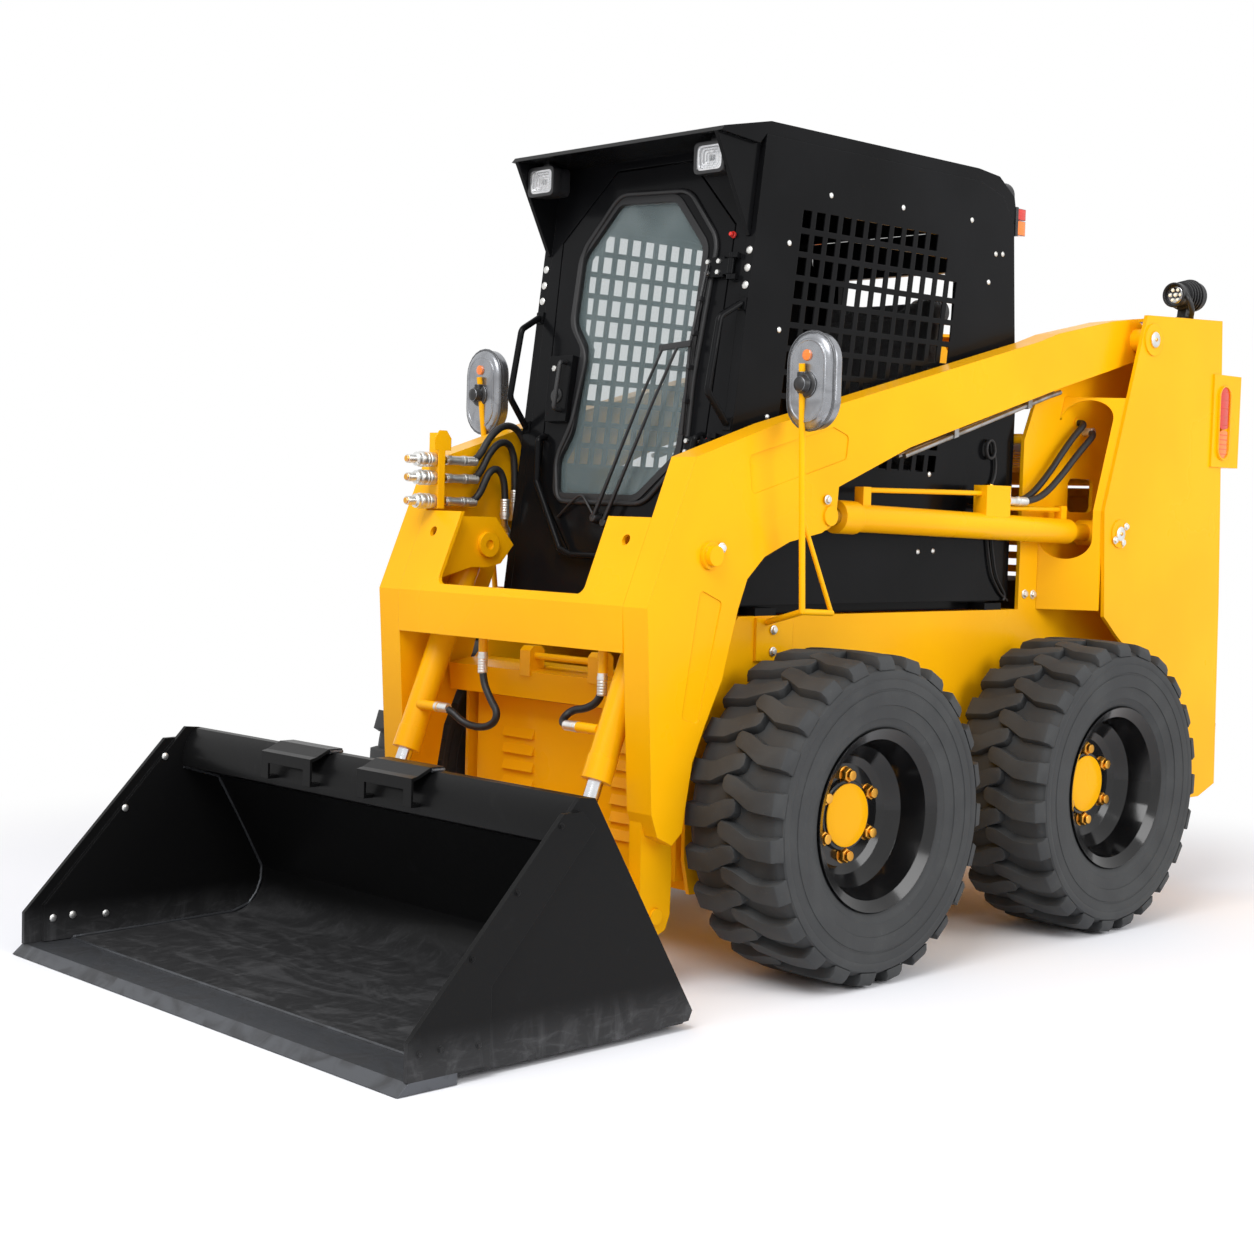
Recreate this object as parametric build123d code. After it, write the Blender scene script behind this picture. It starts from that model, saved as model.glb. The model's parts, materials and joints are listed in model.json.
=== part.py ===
from build123d import *
import math
import os

# Skid steer loader, millimetres. Front is -Y, the machine's left is +X, up is +Z.
# The model is laid out from the middle of the wheelbase, and each piece is moved as it is saved
# so that the origin lies on the ground under the middle of the machine's overall length.
# Outlines ahead of the front wheels were measured with the front axle at half of drawn_wheelbase.

# Overall sizes
wheelbase = 1067
drawn_wheelbase = 1067
front_wheel_y = -wheelbase / 2
rear_wheel_y = wheelbase / 2
nose = front_wheel_y + drawn_wheelbase / 2
track_inside = 966
tyre_width = 307
tyre_radius = 415.5
wheel_x = track_inside / 2 + tyre_width / 2
rim_radius = 209
flange_radius = 229
front_tip_y = nose - 2038
rear_end_y = 1498
middle_y = (front_tip_y + rear_end_y) / 2
roof_z = 2170

# Clearances
running_gap = 0.5
door_gap = 5
side_gap = 6

# Chassis and towers
chassis_half = 430
chassis_plate = 12
chassis_floor_z = 210
chassis_top_z = 905
tower_half = 580
tower_plate = 12
tower_kink = (708, 1200)
tower_front_top = (898, 1790)
web_thick = 10
web_depth = 114
web_top_z = 1555
web_slot = (490, 60)
web_slot_z = (1116, 1469)
engine_bay_y = 505
rear_hinge = (-424, 1400)
rear_hinge_heights = (700, 1120)

# Lift arms
arm_half = 520
arm_inside = chassis_half + side_gap
leg_thick = 40
arm_pivot = (933, 1719)
arm_pin_radius = 25
arm_under = ((-144, 1353), (336, 1491), (543, 1551), (766, 1610))
pipe_x = (458, 482)
pipe_radius = 7
pipe_drop = 22
pipe_end_y = 600

# Lift cylinders
lift_x = 478
lift_base = (791, 1134)
lift_eye = (-465, 1165)
lift_pin_radius = 25
lift_barrel_radius = 37
lift_gland_radius = 44
lift_rod_radius = 22.5
lift_barrel_end = 1188
lift_rod_length = 1000

# Bucket and its linkage
bucket_pivot = (nose - 1016, 185)
bucket_pin_radius = 20
tilt_x = 372
tilt_base = (nose - 906, 1061)
tilt_eye = (nose - 1186, 360)
tilt_barrel_radius = 36
tilt_gland_radius = 38
tilt_rod_radius = 20
tilt_barrel_end = 592
tilt_rod_length = 555
bucket_half = 795
bucket_plate = 12
cutter_plate = 13
bucket_clear_z = 2
edge_thick = 24

# Cab
cab_half = 400
cab_wall = 30
cab_floor_z = 905
cab_floor_thick = 25
cab_front_top = (-616, 2125)
cab_front_low = (-760, 1030)
cab_rear_y = 490
screen_pitch = (53.5, 61.3)
screen_hole = (35, 46)
door_thick = 34
door_half = 325
door_low_half = 305
door_end_half = 140
door_heights = (1040, 1230, 1900, 2080)
glass_thick = 8
back_middle = (345, 1564)
back_lean = 8
back_thick = 100
hinge_heights = (1330, 1790)
hinge_x = door_half + 14
hinge_proud = 12
hinge_radius = 9
hinge_pin_radius = 4
handle_x = 378
handle_radius = 9
guard_radius = 9
mirror_head = (622, -655, 1494)
mirror_post_radius = 8

# Oil hoses
hose_radius = 10
ferrule_radius = 12


# Building blocks

def profile(points, radius=None):
    """A face in the side view, from (y, z) points, with every corner rounded if a radius is given."""
    if radius:
        return make_face(Plane.YZ * FilletPolyline(*points, radius=radius, close=True))
    return make_face(Plane.YZ * Polyline(*points, close=True))


def side_plate(points, x_low, x_high, radius=None):
    """A plate seen from the side: (y, z) points, filled from one x to another."""
    return extrude(Pos(x_low, 0, 0) * profile(points, radius), amount=x_high - x_low, dir=(1, 0, 0))


def block(x_low, x_high, y_low, y_high, z_low, z_high):
    """A box given by its limits."""
    middle = ((x_low + x_high) / 2, (y_low + y_high) / 2, (z_low + z_high) / 2)
    return Pos(*middle) * Box(x_high - x_low, y_high - y_low, z_high - z_low)


def cross_rod(radius, x_low, x_high, place):
    """A round bar along x through a (y, z) place."""
    return Pos((x_low + x_high) / 2, place[0], place[1]) * Rot(0, 90, 0) * Cylinder(radius, x_high - x_low)


def bar(start, end, radius):
    """A round bar between two points."""
    line = Vector(*end) - Vector(*start)
    plane = Plane(origin=start, z_dir=line)
    return plane * Cylinder(radius, line.length, align=(Align.CENTER, Align.CENTER, Align.MIN))


def bent_bar(points, bend, radius):
    """A round bar along straight runs joined by bends, one radius for all or a list of them."""
    path = FilletPolyline(*points, radius=bend)
    section = Plane(origin=points[0], z_dir=Vector(*points[1]) - Vector(*points[0])) * Circle(radius)
    return sweep(section, path)


def hose(name, points):
    """An oil hose: each arc is as large as its two runs allow. Its radii and volume are printed."""
    radii = []
    length = math.dist(points[0], points[1])
    for before, here, after in zip(points, points[1:], points[2:]):
        start = Vector(*here) - Vector(*before)
        end = Vector(*after) - Vector(*here)
        half_turn = math.radians(start.get_angle(end)) / 2
        radii.append(0.45 * min(start.length, end.length) / math.tan(half_turn))
        length += end.length - radii[-1] * 2 * (math.tan(half_turn) - half_turn)
    tube = bent_bar(points, radii, hose_radius)
    full = math.pi * hose_radius ** 2 * length
    print(f"{name}: length {length:.0f}, volume {tube.volume / full:.3f} of full, radii",
          [round(radius) for radius in radii])
    return tube


def mirrored(shape):
    """The same shape on the machine's other side."""
    return mirror(shape, about=Plane.YZ)


def both(shape):
    """A shape and its twin on the other side."""
    return [shape, mirrored(shape)]


def along(start, end, distance):
    """The (y, z) point at a distance from start towards end."""
    length = math.dist(start, end)
    share = distance / length
    return (start[0] + (end[0] - start[0]) * share, start[1] + (end[1] - start[1]) * share)


def ahead(*points):
    """Side view points ahead of the front wheels, which move along with the front axle."""
    return [(y + nose, z) for y, z in points]


def save(name, *shapes):
    """Write one piece, with the origin moved under the middle of the machine."""
    solids = [solid for shape in shapes for solid in shape.solids()]
    os.makedirs("parts", exist_ok=True)
    export_step(Compound(children=[Pos(0, -middle_y, 0) * solid for solid in solids]), f"parts/{name}.step")


# Wheels and axles

hub_face_x = 655
hub_radius = 80
axle_radius = 62
stud_circle = 102


def tyre(y):
    """A tyre: rounded shoulders, and a bore that sits on the rim between its flanges."""
    inner = track_inside / 2
    outer = inner + tyre_width
    shoulder = 40
    points = [
        (inner + 40, rim_radius + running_gap),
        (outer - 40, rim_radius + running_gap),
        (outer - 26, flange_radius + 2),
        (outer - 4, 300),
        (outer, 352),
        (outer - 8, tyre_radius - shoulder),
        (outer - shoulder, tyre_radius),
        (inner + shoulder, tyre_radius),
        (inner + 8, tyre_radius - shoulder),
        (inner, 352),
        (inner + 4, 300),
        (inner + 26, flange_radius + 2),
    ]
    section = make_face(Plane.XY * Polyline(*points, close=True))
    return Pos(0, y, tyre_radius) * revolve(section, Axis.X)


def rim(y):
    """A deep dished steel rim with its centre plate, hub boss and wheel studs."""
    inner = track_inside / 2
    outer = inner + tyre_width
    wall = 8
    barrel = [
        (inner + 16, flange_radius),
        (inner + 24, flange_radius),
        (inner + 40, rim_radius),
        (outer - 40, rim_radius),
        (outer - 24, flange_radius),
        (outer - 16, flange_radius),
        (outer - 32, rim_radius - wall),
        (hub_face_x + 40, rim_radius - wall - 22),
        (hub_face_x + 10, 150),
        (hub_face_x, 130),
        (hub_face_x, hub_radius + 2),
        (hub_face_x - wall, hub_radius + 2),
        (hub_face_x - wall, 130),
        (hub_face_x, 156),
        (hub_face_x + 28, rim_radius - wall - 26),
        (inner + 40, rim_radius - wall),
        (inner + 16, flange_radius - 8),
    ]
    body = Pos(0, y, tyre_radius) * revolve(make_face(Plane.XY * Polyline(*barrel, close=True)), Axis.X)
    centre = (y, tyre_radius)
    hub = cross_rod(130, hub_face_x - 30, hub_face_x - wall, centre)
    boss = cross_rod(hub_radius + 2, hub_face_x - wall, hub_face_x + 12, centre)
    wheel = body + hub + boss
    for turn in range(6):
        angle = math.radians(60 * turn + 30)
        place = (y + stud_circle * math.cos(angle), tyre_radius + stud_circle * math.sin(angle))
        wheel += cross_rod(13, hub_face_x, hub_face_x + 22, place)
    return wheel


def axles():
    """Four axle tubes with their flanges, one at each wheel, and a spindle that carries the hub."""
    tubes = []
    for y in (front_wheel_y, rear_wheel_y):
        centre = (y, tyre_radius)
        tube = cross_rod(axle_radius, chassis_half, hub_face_x - 50, centre)
        tube += cross_rod(105, chassis_half, chassis_half + 14, centre)
        tube += cross_rod(92, hub_face_x - 50, hub_face_x - 30 - running_gap, centre)
        tubes += both(tube)
    return tubes


# Chassis

def chassis_frame():
    """The welded tub: side plates that rise beside the engine, floor, cross walls and front beam."""
    outline = [
        (-872, 300), (-850, 212), (-800, chassis_floor_z), (1230, chassis_floor_z), (1330, 330),
        (1330, 1640), (1215, 1775), (900, 1775), (engine_bay_y + 70, 1560), (engine_bay_y, 1400),
        (engine_bay_y, chassis_top_z), (-700, chassis_top_z), (-872, 720),
    ]
    inside = chassis_half - chassis_plate
    plate = side_plate(outline, inside, chassis_half)
    plate -= side_plate([(738, 1195), (870, 1195), (870, 1296), (738, 1296)], 400, 440, 20)
    plate -= cross_rod(arm_pin_radius + running_gap, 400, 440, arm_pivot)
    plate -= cross_rod(lift_pin_radius + running_gap, 400, 440, lift_base)
    for place in hose_ports:
        plate += cross_rod(16, chassis_half, chassis_half + hose_port_proud, place)
    tub = plate + mirrored(plate)
    tub += block(-inside, inside, -800, 1230, chassis_floor_z, chassis_floor_z + 10)
    tub += block(-inside, inside, -812, -800, chassis_floor_z, 700)
    tub += block(-inside, inside, 1218, 1230, chassis_floor_z, 420)
    tub += block(-inside, inside, engine_bay_y, engine_bay_y + 10, chassis_floor_z, chassis_top_z)
    for z in rear_hinge_heights:
        for z_low in (z - 30, z + 12):
            tub += block(-chassis_half, chassis_plate - chassis_half, 1325, rear_hinge[1], z_low, z_low + 18)
            tub += rear_hinge_bar(z_low, z_low + 18, 8)
        tub += rear_hinge_bar(z - 30, z + 30, 4)
    tub += side_plate([(-940, 662), (-948, 735), (-880, 747), (-800, 747), (-800, 662)], -inside, inside)
    for x in (-97, 166):
        tub += side_plate([(-952, 722), (-952, 790), (-940, 802), (-912, 802), (-900, 790), (-900, 740)],
                          x - 20, x + 20)
    return tub + cross_rod(9, -77, 146, (-928, 776))


def cap_z(y):
    """The height of a tower's top at a y."""
    return 1793 + (y - 1010) * 14 / 310


def rear_hinge_bar(z_low, z_high, radius):
    """A round bar along the tailgate's hinge."""
    return bar((*rear_hinge, z_low), (*rear_hinge, z_high), radius)


def tower():
    """One lift arm tower: outer plate, slanted web, rear wall, cap and pin bosses."""
    centre = (rear_wheel_y, tyre_radius)
    arch = 495
    under = []
    for degrees in (50, 38, 26, 14, 2):
        angle = math.radians(degrees)
        under.append((centre[0] + arch * math.cos(angle), centre[1] + arch * math.sin(angle)))
    front_edge = [tower_front_top, tower_kink, (729, 887), (800, 830)]
    rear_edge = [(1405, 341), (1384, 930), (1366, 1248), (1331, 1808)]
    outline = front_edge + under + [(1050, 306), (1311, 306)] + rear_edge
    inside = tower_half - tower_plate
    outer = side_plate(outline, inside, tower_half)
    rear_inside = [(y - tower_plate, z) for y, z in reversed(rear_edge)]
    rear = side_plate(rear_edge + rear_inside, chassis_half, inside)
    cap = side_plate([(1010, cap_z(1010)), (1320, cap_z(1320)), (1320, cap_z(1320) - 10),
                      (1010, cap_z(1010) - 10)], chassis_half, inside)
    foot = side_plate([(1050, 306), (1311, 306), (1311, 318), (1050, 318)], chassis_half, inside)
    body = outer + tower_web() + rear + cap + foot
    pin = cross_rod(arm_pin_radius, chassis_half - chassis_plate, tower_half + 8, arm_pivot)
    pin += cross_rod(48, tower_half, tower_half + 5, arm_pivot)
    pin += cross_rod(lift_pin_radius, chassis_half - chassis_plate, tower_half + 6, lift_base)
    pin += cross_rod(42, tower_half, tower_half + 4, lift_base)
    return body + pin


def tower_web():
    """The web that slants from the chassis side out to the tower's front edge, with its long slot."""
    lean = (tower_front_top[0] - tower_kink[0]) / (tower_front_top[1] - tower_kink[1])
    inner = tower_kink[0] - web_depth
    outer = tower_kink[0]
    inside = tower_half - tower_plate
    corners = [(chassis_half, inner), (inside, outer), (inside, outer + web_thick),
               (chassis_half, inner + web_thick)]
    section = make_face(Plane.XY.offset(tower_kink[1]) * Polyline(*corners, close=True))
    rise = web_top_z - tower_kink[1]
    upper = extrude(section, amount=rise, dir=(0, lean, 1))
    lower = extrude(section, amount=tower_kink[1] - chassis_top_z, dir=(0, 0, -1))
    x, radius = web_slot
    low, high = web_slot_z
    cut = block(x - radius, x + radius, inner - 60, outer + 150, low, high)
    for z in (low, high):
        cut += Pos(x, (inner + outer) / 2, z) * Rot(90, 0, 0) * Cylinder(radius, 400)
    return upper + lower - cut


def rear_bumper():
    """The rear counterweight bumper with its tow hitch plate."""
    bumper = block(-tower_half + 40, tower_half - 40, 1417, 1470, 430, 540)
    bumper = chamfer(bumper.edges().filter_by(Axis.X).group_by(Axis.Y)[-1], 14)
    foot = side_plate([(1402.1, 430), (1398.2, 540), (1420, 540), (1420, 430)], 450, tower_half - 40)
    bumper += foot + mirrored(foot)
    plate = block(-60, 60, 1470, rear_end_y, 440, 460) + block(-60, 60, 1470, rear_end_y, 500, 520)
    bore = Pos(0, 1484, 480) * Cylinder(8, 120)
    return bumper + (plate - bore)


def engine_block():
    """The engine as one plain block."""
    engine = block(-230, 230, 590, 1180, 340, 980)
    for x in (-190, 190):
        for y in (630, 1140):
            engine += block(x - 30, x + 30, y - 30, y + 30, chassis_floor_z + 10, 340)
    return engine


def front_panel():
    """The access panel in the chassis front, with two columns of pressed louvres."""
    panel = block(-390, 390, -862, -812, 240, 650)
    for side in (-1, 1):
        for row in range(6):
            z = 330 + row * 45
            centre = side * 215
            louvre = side_plate([(-862, z - 12), (-872, z - 12), (-862, z + 14)], centre - 62, centre + 62)
            panel += louvre
    return panel


# Cab

def front_y(z):
    """The y of the cab's front face at a height."""
    share = (z - cab_front_low[1]) / (cab_front_top[1] - cab_front_low[1])
    return cab_front_low[0] + share * (cab_front_top[0] - cab_front_low[0])


def cab_side():
    """The left cab wall: a thick frame around a thin pierced screen, whose holes lean with the front."""
    wall_in = cab_half - cab_wall
    outline = [
        (front_y(cab_floor_z + cab_floor_thick), cab_floor_z + cab_floor_thick), cab_front_top, (290, 2125), (400, 2095),
        (455, 2020), (475, 1750), (495, 1500), (cab_rear_y, cab_floor_z + cab_floor_thick),
    ]
    wall = side_plate(outline, wall_in, cab_half)
    recess = [(-492, 1965), (100, 1975), (215, 1850), (210, 1735), (180, 1282), (-580, 1282), (-525, 1500)]
    wall -= side_plate(recess, wall_in - 1, cab_half - 4)
    lean = math.tan(front_lean())
    pitch_y, pitch_z = screen_pitch
    half_y, half_z = screen_hole[0] / 2, screen_hole[1] / 2
    cuts = []
    for row in range(11):
        z = 1930 - row * pitch_z
        first = -454 - row * pitch_z * lean
        for column in range((11, 12, 13)[min(row, 2)]):
            y = first + column * pitch_y
            hole = [(y - half_y - half_z * lean, z - half_z), (y + half_y - half_z * lean, z - half_z),
                    (y + half_y + half_z * lean, z + half_z), (y - half_y + half_z * lean, z + half_z)]
            cuts.append(side_plate(hole, cab_half - 6, cab_half + 1))
    return wall - Compound(children=cuts)


def cab_floor():
    """The cab floor pan, with the four feet that stand on the chassis sides."""
    inside = cab_half - cab_wall
    top = cab_floor_z + cab_floor_thick
    floor = block(-inside, inside, -720, cab_rear_y - cab_wall, cab_floor_z, top)
    for y in (-600, 380):
        floor += block(-chassis_half, chassis_half, y - 40, y + 40, chassis_top_z, top - 5)
    return floor


def cab_roof():
    """The roof panel with its visor wings and the low hatch on top."""
    edge = cab_half - 2
    roof = side_plate([
        cab_front_top, (-600, 2160), (280, roof_z - 10), (380, 2150), (455, 2100), (465, 2060),
        (455, 2020), (400, 2095), (290, 2125),
    ], -edge, edge)
    visor = side_plate([(-782, 2112), (-770, 2125), (-600, 2160), cab_front_top, (-640, 2100)], -edge, edge)
    wing = side_plate([(-782, 2112), (front_y(2110) - 0.3, 2110), (front_y(1868) - 0.3, 1868), (-655, 1868)],
                      372, 384)
    hatch = block(-300, 300, -330, 180, 2150, roof_z)
    return roof + visor + wing + mirrored(wing) + hatch


def cab_rear_wall():
    """The rear wall with its window opening."""
    inside = cab_half - cab_wall
    wall = block(-inside, inside, cab_rear_y - cab_wall, cab_rear_y - 6, cab_floor_z, 2020)
    return wall - block(-260, 260, cab_rear_y - 60, cab_rear_y + 10, 1420, 1900)


def door_outline():
    """The door's eight corners on the cab's front face: x across, height along z."""
    low, low_corner, high_corner, high = door_heights
    side = [(door_end_half, low), (door_low_half, low_corner), (door_half, high_corner), (door_end_half, high)]
    return side + [(-x, z) for x, z in reversed(side)]


def glass_outline():
    """The pane's corners, with the notch that leaves room for the latch."""
    return [(-111, 1994), (-235, 1855), (-240, 1674), (-182, 1605), (-196, 1373), (-239, 1297), (-226, 1204),
            (82, 1201), (215, 1312), (222, 1506), (228, 1851), (104, 1984)]


def front_lean():
    """How far the cab's front face leans back, as an angle."""
    return math.atan2(cab_front_top[0] - cab_front_low[0], cab_front_top[1] - cab_front_low[1])


def front_point(x, z, proud):
    """A point that stands out from the cab's front face."""
    lean = front_lean()
    return (x, front_y(z) - proud * math.cos(lean), z + proud * math.sin(lean))


def slanted_slab(outline, thick, proud, grow=0):
    """A slab in the slanted front face: outline in (x, z), thickness, how far it stands out, and growth."""
    lean = front_lean()
    scale = 1 / math.cos(lean)
    face = Plane(origin=(0, cab_front_low[0], cab_front_low[1]), x_dir=(1, 0, 0),
                 z_dir=(0, -math.cos(lean), math.sin(lean)))
    shape = make_face(Polyline(*[(x, (z - cab_front_low[1]) * scale) for x, z in outline], close=True))
    if grow:
        shape = offset(shape, amount=grow, kind=Kind.INTERSECTION)
    return extrude(face.offset(proud - thick) * shape, amount=thick)


def rectangle(x_low, x_high, z_low, z_high):
    """Four corners on the cab's front face."""
    return [(x_low, z_low), (x_high, z_low), (x_high, z_high), (x_low, z_high)]


def hinge_bar(z_low, z_high, radius):
    """A round bar along the door's hinge axis, which leans with the front face."""
    return bar(front_point(hinge_x, z_low, hinge_proud), front_point(hinge_x, z_high, hinge_proud), radius)


def cab_front_frame():
    """The cab's front frame with the door opening, and the low front of the foot well."""
    edge = cab_half - cab_wall
    frame = slanted_slab(rectangle(-edge, edge, cab_floor_z + cab_floor_thick, 2120), 46, 0)
    frame -= slanted_slab(door_outline(), 80, 20, grow=door_gap)
    for z in hinge_heights:
        for z_low in (z - 34, z + 21):
            frame += slanted_slab(rectangle(hinge_x, hinge_x + 22, z_low, z_low + 13), 16, 16)
            frame += hinge_bar(z_low, z_low + 13, hinge_radius)
        frame += hinge_bar(z - 34, z + 34, hinge_pin_radius)
    return frame


def cab_door():
    """The front door around its pane, with hinge leaves, a latch box and the guard tube below."""
    frame = slanted_slab(door_outline(), door_thick, 0) - slanted_slab(glass_outline(), 80, 20)
    for z in hinge_heights:
        frame += slanted_slab(rectangle(door_half - 70, door_half - 8, z - 26, z + 26), 16, 16)
        frame += slanted_slab(rectangle(door_half - 8, hinge_x, z - 20, z + 20), 8, 16)
        frame += hinge_bar(z - 20, z + 20, hinge_radius)
        frame -= hinge_bar(z - 40, z + 40, hinge_pin_radius + running_gap)
    frame += slanted_slab([(-300, 1580), (-206, 1580), (-206, 1400), (-290, 1400)], 22, 22)
    guard = [(-300, 1362, 2), (-300, 1350, 26), (-286, 1232, 26), (-158, 1052, 26), (-112, 1038, 26)]
    guard += [(-x, z, proud) for x, z, proud in reversed(guard)]
    return frame + bent_bar([front_point(x, z, proud) for x, z, proud in guard], 10, guard_radius)


def door_glass():
    """The pane in the front door."""
    return slanted_slab(glass_outline(), glass_thick, -10, grow=-running_gap)


# Inside the cab

def back_rear(z):
    """The y just behind the backrest at a height."""
    lean = math.radians(back_lean)
    return back_middle[0] + (z - back_middle[1]) * math.tan(lean) + back_thick / 2 / math.cos(lean) + 0.3


def seat_base():
    """The seat's box and the two side consoles."""
    box = block(-190, 190, -60, 320, cab_floor_z + cab_floor_thick, 1190)
    box += side_plate([(320, 1150), (320, 1180), (back_rear(1310), 1310), (back_rear(1600), 1600),
                       (back_rear(1600) + 12, 1600), (back_rear(1300) + 16, 1300), (back_rear(1300) + 16, 1150)],
                      -110, 110)
    consoles = block(230, 340, -160, 300, cab_floor_z + cab_floor_thick, 1300)
    return box, consoles, mirrored(consoles)


def seat_cushion():
    """The seat cushion as a plain block."""
    return fillet(block(-215, 215, -150, 300, 1190.3, 1300).edges(), 25)


def seat_back():
    """The backrest as a plain block."""
    back = Pos(0, *back_middle) * Rot(-back_lean, 0, 0) * Box(430, back_thick, 520)
    return fillet(back.edges(), 25)


def control_levers():
    """A joystick on each console."""
    stick = bar((285, -121, 1306), (285, -150, 1440), 10) + Pos(285, -153, 1460) * Sphere(26)
    stick += Pos(285, -120, 1308) * Cylinder(24, 16)
    return both(stick)


def safety_bar():
    """The bar across the operator's lap, on its two rear hinges."""
    path = [(240, 395, 1400), (240, -50, 1440), (150, -80, 1400), (-150, -80, 1400), (-240, -50, 1440),
            (-240, 395, 1400)]
    pivot = cross_rod(14, 232, cab_half - cab_wall, (395, 1400))
    return bent_bar(path, 30, 12) + pivot + mirrored(pivot)


# What is fixed to the body's outside

def grab_handles():
    """A bent grab handle on each front post, on two pads."""
    ends = (1694, 1389)
    pad = 5
    high, low = (front_point(handle_x + 6, z, pad + 2) for z in ends)
    path = [high, (handle_x, -748, 1657), (handle_x, -785, 1468), low]
    handle = bent_bar(path, 24, handle_radius)
    for z in ends:
        handle += slanted_slab(rectangle(handle_x - 8, handle_x + 20, z - 16, z + 16), pad, pad)
    return both(handle)


def mirrors():
    """A mirror at each side, on a post that a bracket on the chassis holds out past the arm."""
    plate = block(chassis_half, chassis_half + 8, -640, -500, 790, 900)
    foot = (590, -642, 925)
    heel = (590, -530, 920)
    top = (614, -700, 1535)
    post = bar((chassis_half + 4, -600, 888), foot, mirror_post_radius) + bar(foot, top, mirror_post_radius)
    post += bar(foot, heel, mirror_post_radius) + Pos(*foot) * Sphere(mirror_post_radius)
    post += bar(heel, (599, -665, 1165), 6) + Pos(*heel) * Sphere(mirror_post_radius)
    x, y, z = mirror_head
    head = extrude(Plane.XZ * Pos(x, z) * SlotOverall(240, 146, rotation=90), amount=15, both=True)
    head = fillet(head.edges(), 8)
    ball = Pos(x - 2, y - 32, z) * Sphere(23)
    return both(plate + post + ball + Pos(0, y, 0) * head)


def tail_lamps():
    """A guard box with its lamps behind each tower."""
    low, high = 1350, 1640
    wall = 6
    inner, outer = 500, tower_half
    behind = [(1362, low), (1344, high), (1452, high), (1452, low)]
    box = side_plate(behind, inner, outer) - block(inner + wall, outer + 1, 1372, 1460, low + wall, high - wall)
    cheek = block(outer, outer + wall, 1290, 1452, low, high)
    slot = block(outer - 1, outer + 9, 1322, 1346, low + 50, high - 50)
    lamp = block(inner + wall, outer, 1372, 1440, low + 16, high - 16)
    return both(box + (cheek - slot) + lamp)


def work_lamps():
    """Square work lamps under the visor, and a round one on each tower."""
    front = fillet(block(269, 369, -728, -680, 2020, 2096).edges().filter_by(Axis.Y), 16)
    front += block(309, 329, -715, -660, 2060, 2101)
    start, end = (500, 1180, 1880), (500, 1290, 1884)
    line = Plane(origin=start, z_dir=Vector(*end) - Vector(*start))
    rear = line * Cone(34, 46, math.dist(start, end), align=(Align.CENTER, Align.CENTER, Align.MIN))
    rear += side_plate([(1215, cap_z(1215)), (1255, cap_z(1255)), (1245, 1856), (1225, 1856)], 485, 515)
    return both(front) + both(rear)


def engine_hood():
    """The lid over the engine, between the towers."""
    half = chassis_half - chassis_plate - side_gap
    lid = side_plate([(engine_bay_y + 8, 1396), (engine_bay_y + 8, 1420), (1290, 1350), (1350, 1310),
                      (1350, 1286), (1284, 1326)], -half, half)
    for row in range(9):
        y = 640 + row * 60
        lid -= block(-260, 260, y - 12, y + 12, 1280, 1440)
    pin_end = chassis_half - chassis_plate - running_gap
    return lid + cross_rod(12, -pin_end, pin_end, (engine_bay_y + 14, 1404))


def rear_door():
    """The tailgate with its upright vent slots."""
    half = chassis_half - chassis_plate - side_gap
    door = block(-half, half, 1338, 1388, 560, 1278)
    door -= block(-half + 30, half - 30, 1337, 1376, 590, 1250)
    for row in range(10):
        z = 700 + row * 46
        door -= block(-260, 260, 1370, 1390, z - 11, z + 11)
    for z in rear_hinge_heights:
        door += block(rear_hinge[0], 60 - half, 1388, 1394, z - 11, z + 11)
        door += rear_hinge_bar(z - 11, z + 11, 8)
        door -= rear_hinge_bar(z - 12, z + 12, 4 + running_gap)
    return door + block(half - 90, half - 60, 1388, 1402, 880, 1010)


# Lift arms

def arm():
    """The left lift arm: a deep box beam, its knee open around the cylinder's rod eye."""
    outline = [
        *ahead((-1114, 936), (-963, 1298), (-668, 1393)), (433, 1678), (531, 1709), (808, 1767), (933, 1784),
        (982, 1762), (998, 1719), (980, 1674), (933, 1655), *reversed(arm_under),
        (-433, 1240), (-441, 1149), (-494, 1121),
        *ahead((-617, 1097), (-709, 1059), (-770, 1004), (-800, 930), (-850, 757), (-905, 650), (-946, 560),
               (-968, 440), (-975, 392), (-1009, 363), (-1059, 387), (-1081, 443)),
    ]
    beam = side_plate(outline, arm_inside, arm_half)
    pocket = [(-380, 1262), (-380, 1100), (-620, 1100), (-560, 1230), (-440, 1300)]
    beam -= side_plate(pocket, arm_inside + 9, arm_half - 9)
    pressed = arm_half - 3
    beam -= side_plate(ahead((-776, 1308), (-461, 1392), (-399, 1372), (-406, 1312), (-762, 1212)),
                       pressed, arm_half + 1, 14)
    beam -= side_plate(ahead((-935, 979), (-858, 948), (-932, 652), (-988, 668)), pressed, arm_half + 1, 12)
    leg = ahead((-1090, 640), (-1072, 440), (-1067, 185), (-1053, 148), (-1016, 133), (-979, 148), (-964, 185),
                (-962, 300), (-972, 400), (-960, 520), (-925, 620))
    beam += side_plate(leg, arm_inside, arm_inside + leg_thick)
    beam += cross_rod(34, arm_half, tower_half - tower_plate - side_gap, arm_pivot)
    beam -= cross_rod(arm_pin_radius + running_gap, 430, 600, arm_pivot)
    beam -= cross_rod(bucket_pin_radius + running_gap, 430, 500, bucket_pivot)
    beam += cross_rod(26, arm_half, arm_half + 6, lift_eye)
    beam += cross_rod(34, arm_half, arm_half + 9, tilt_base) + cross_rod(25, arm_half, arm_half + 24, tilt_base)
    return beam


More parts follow.
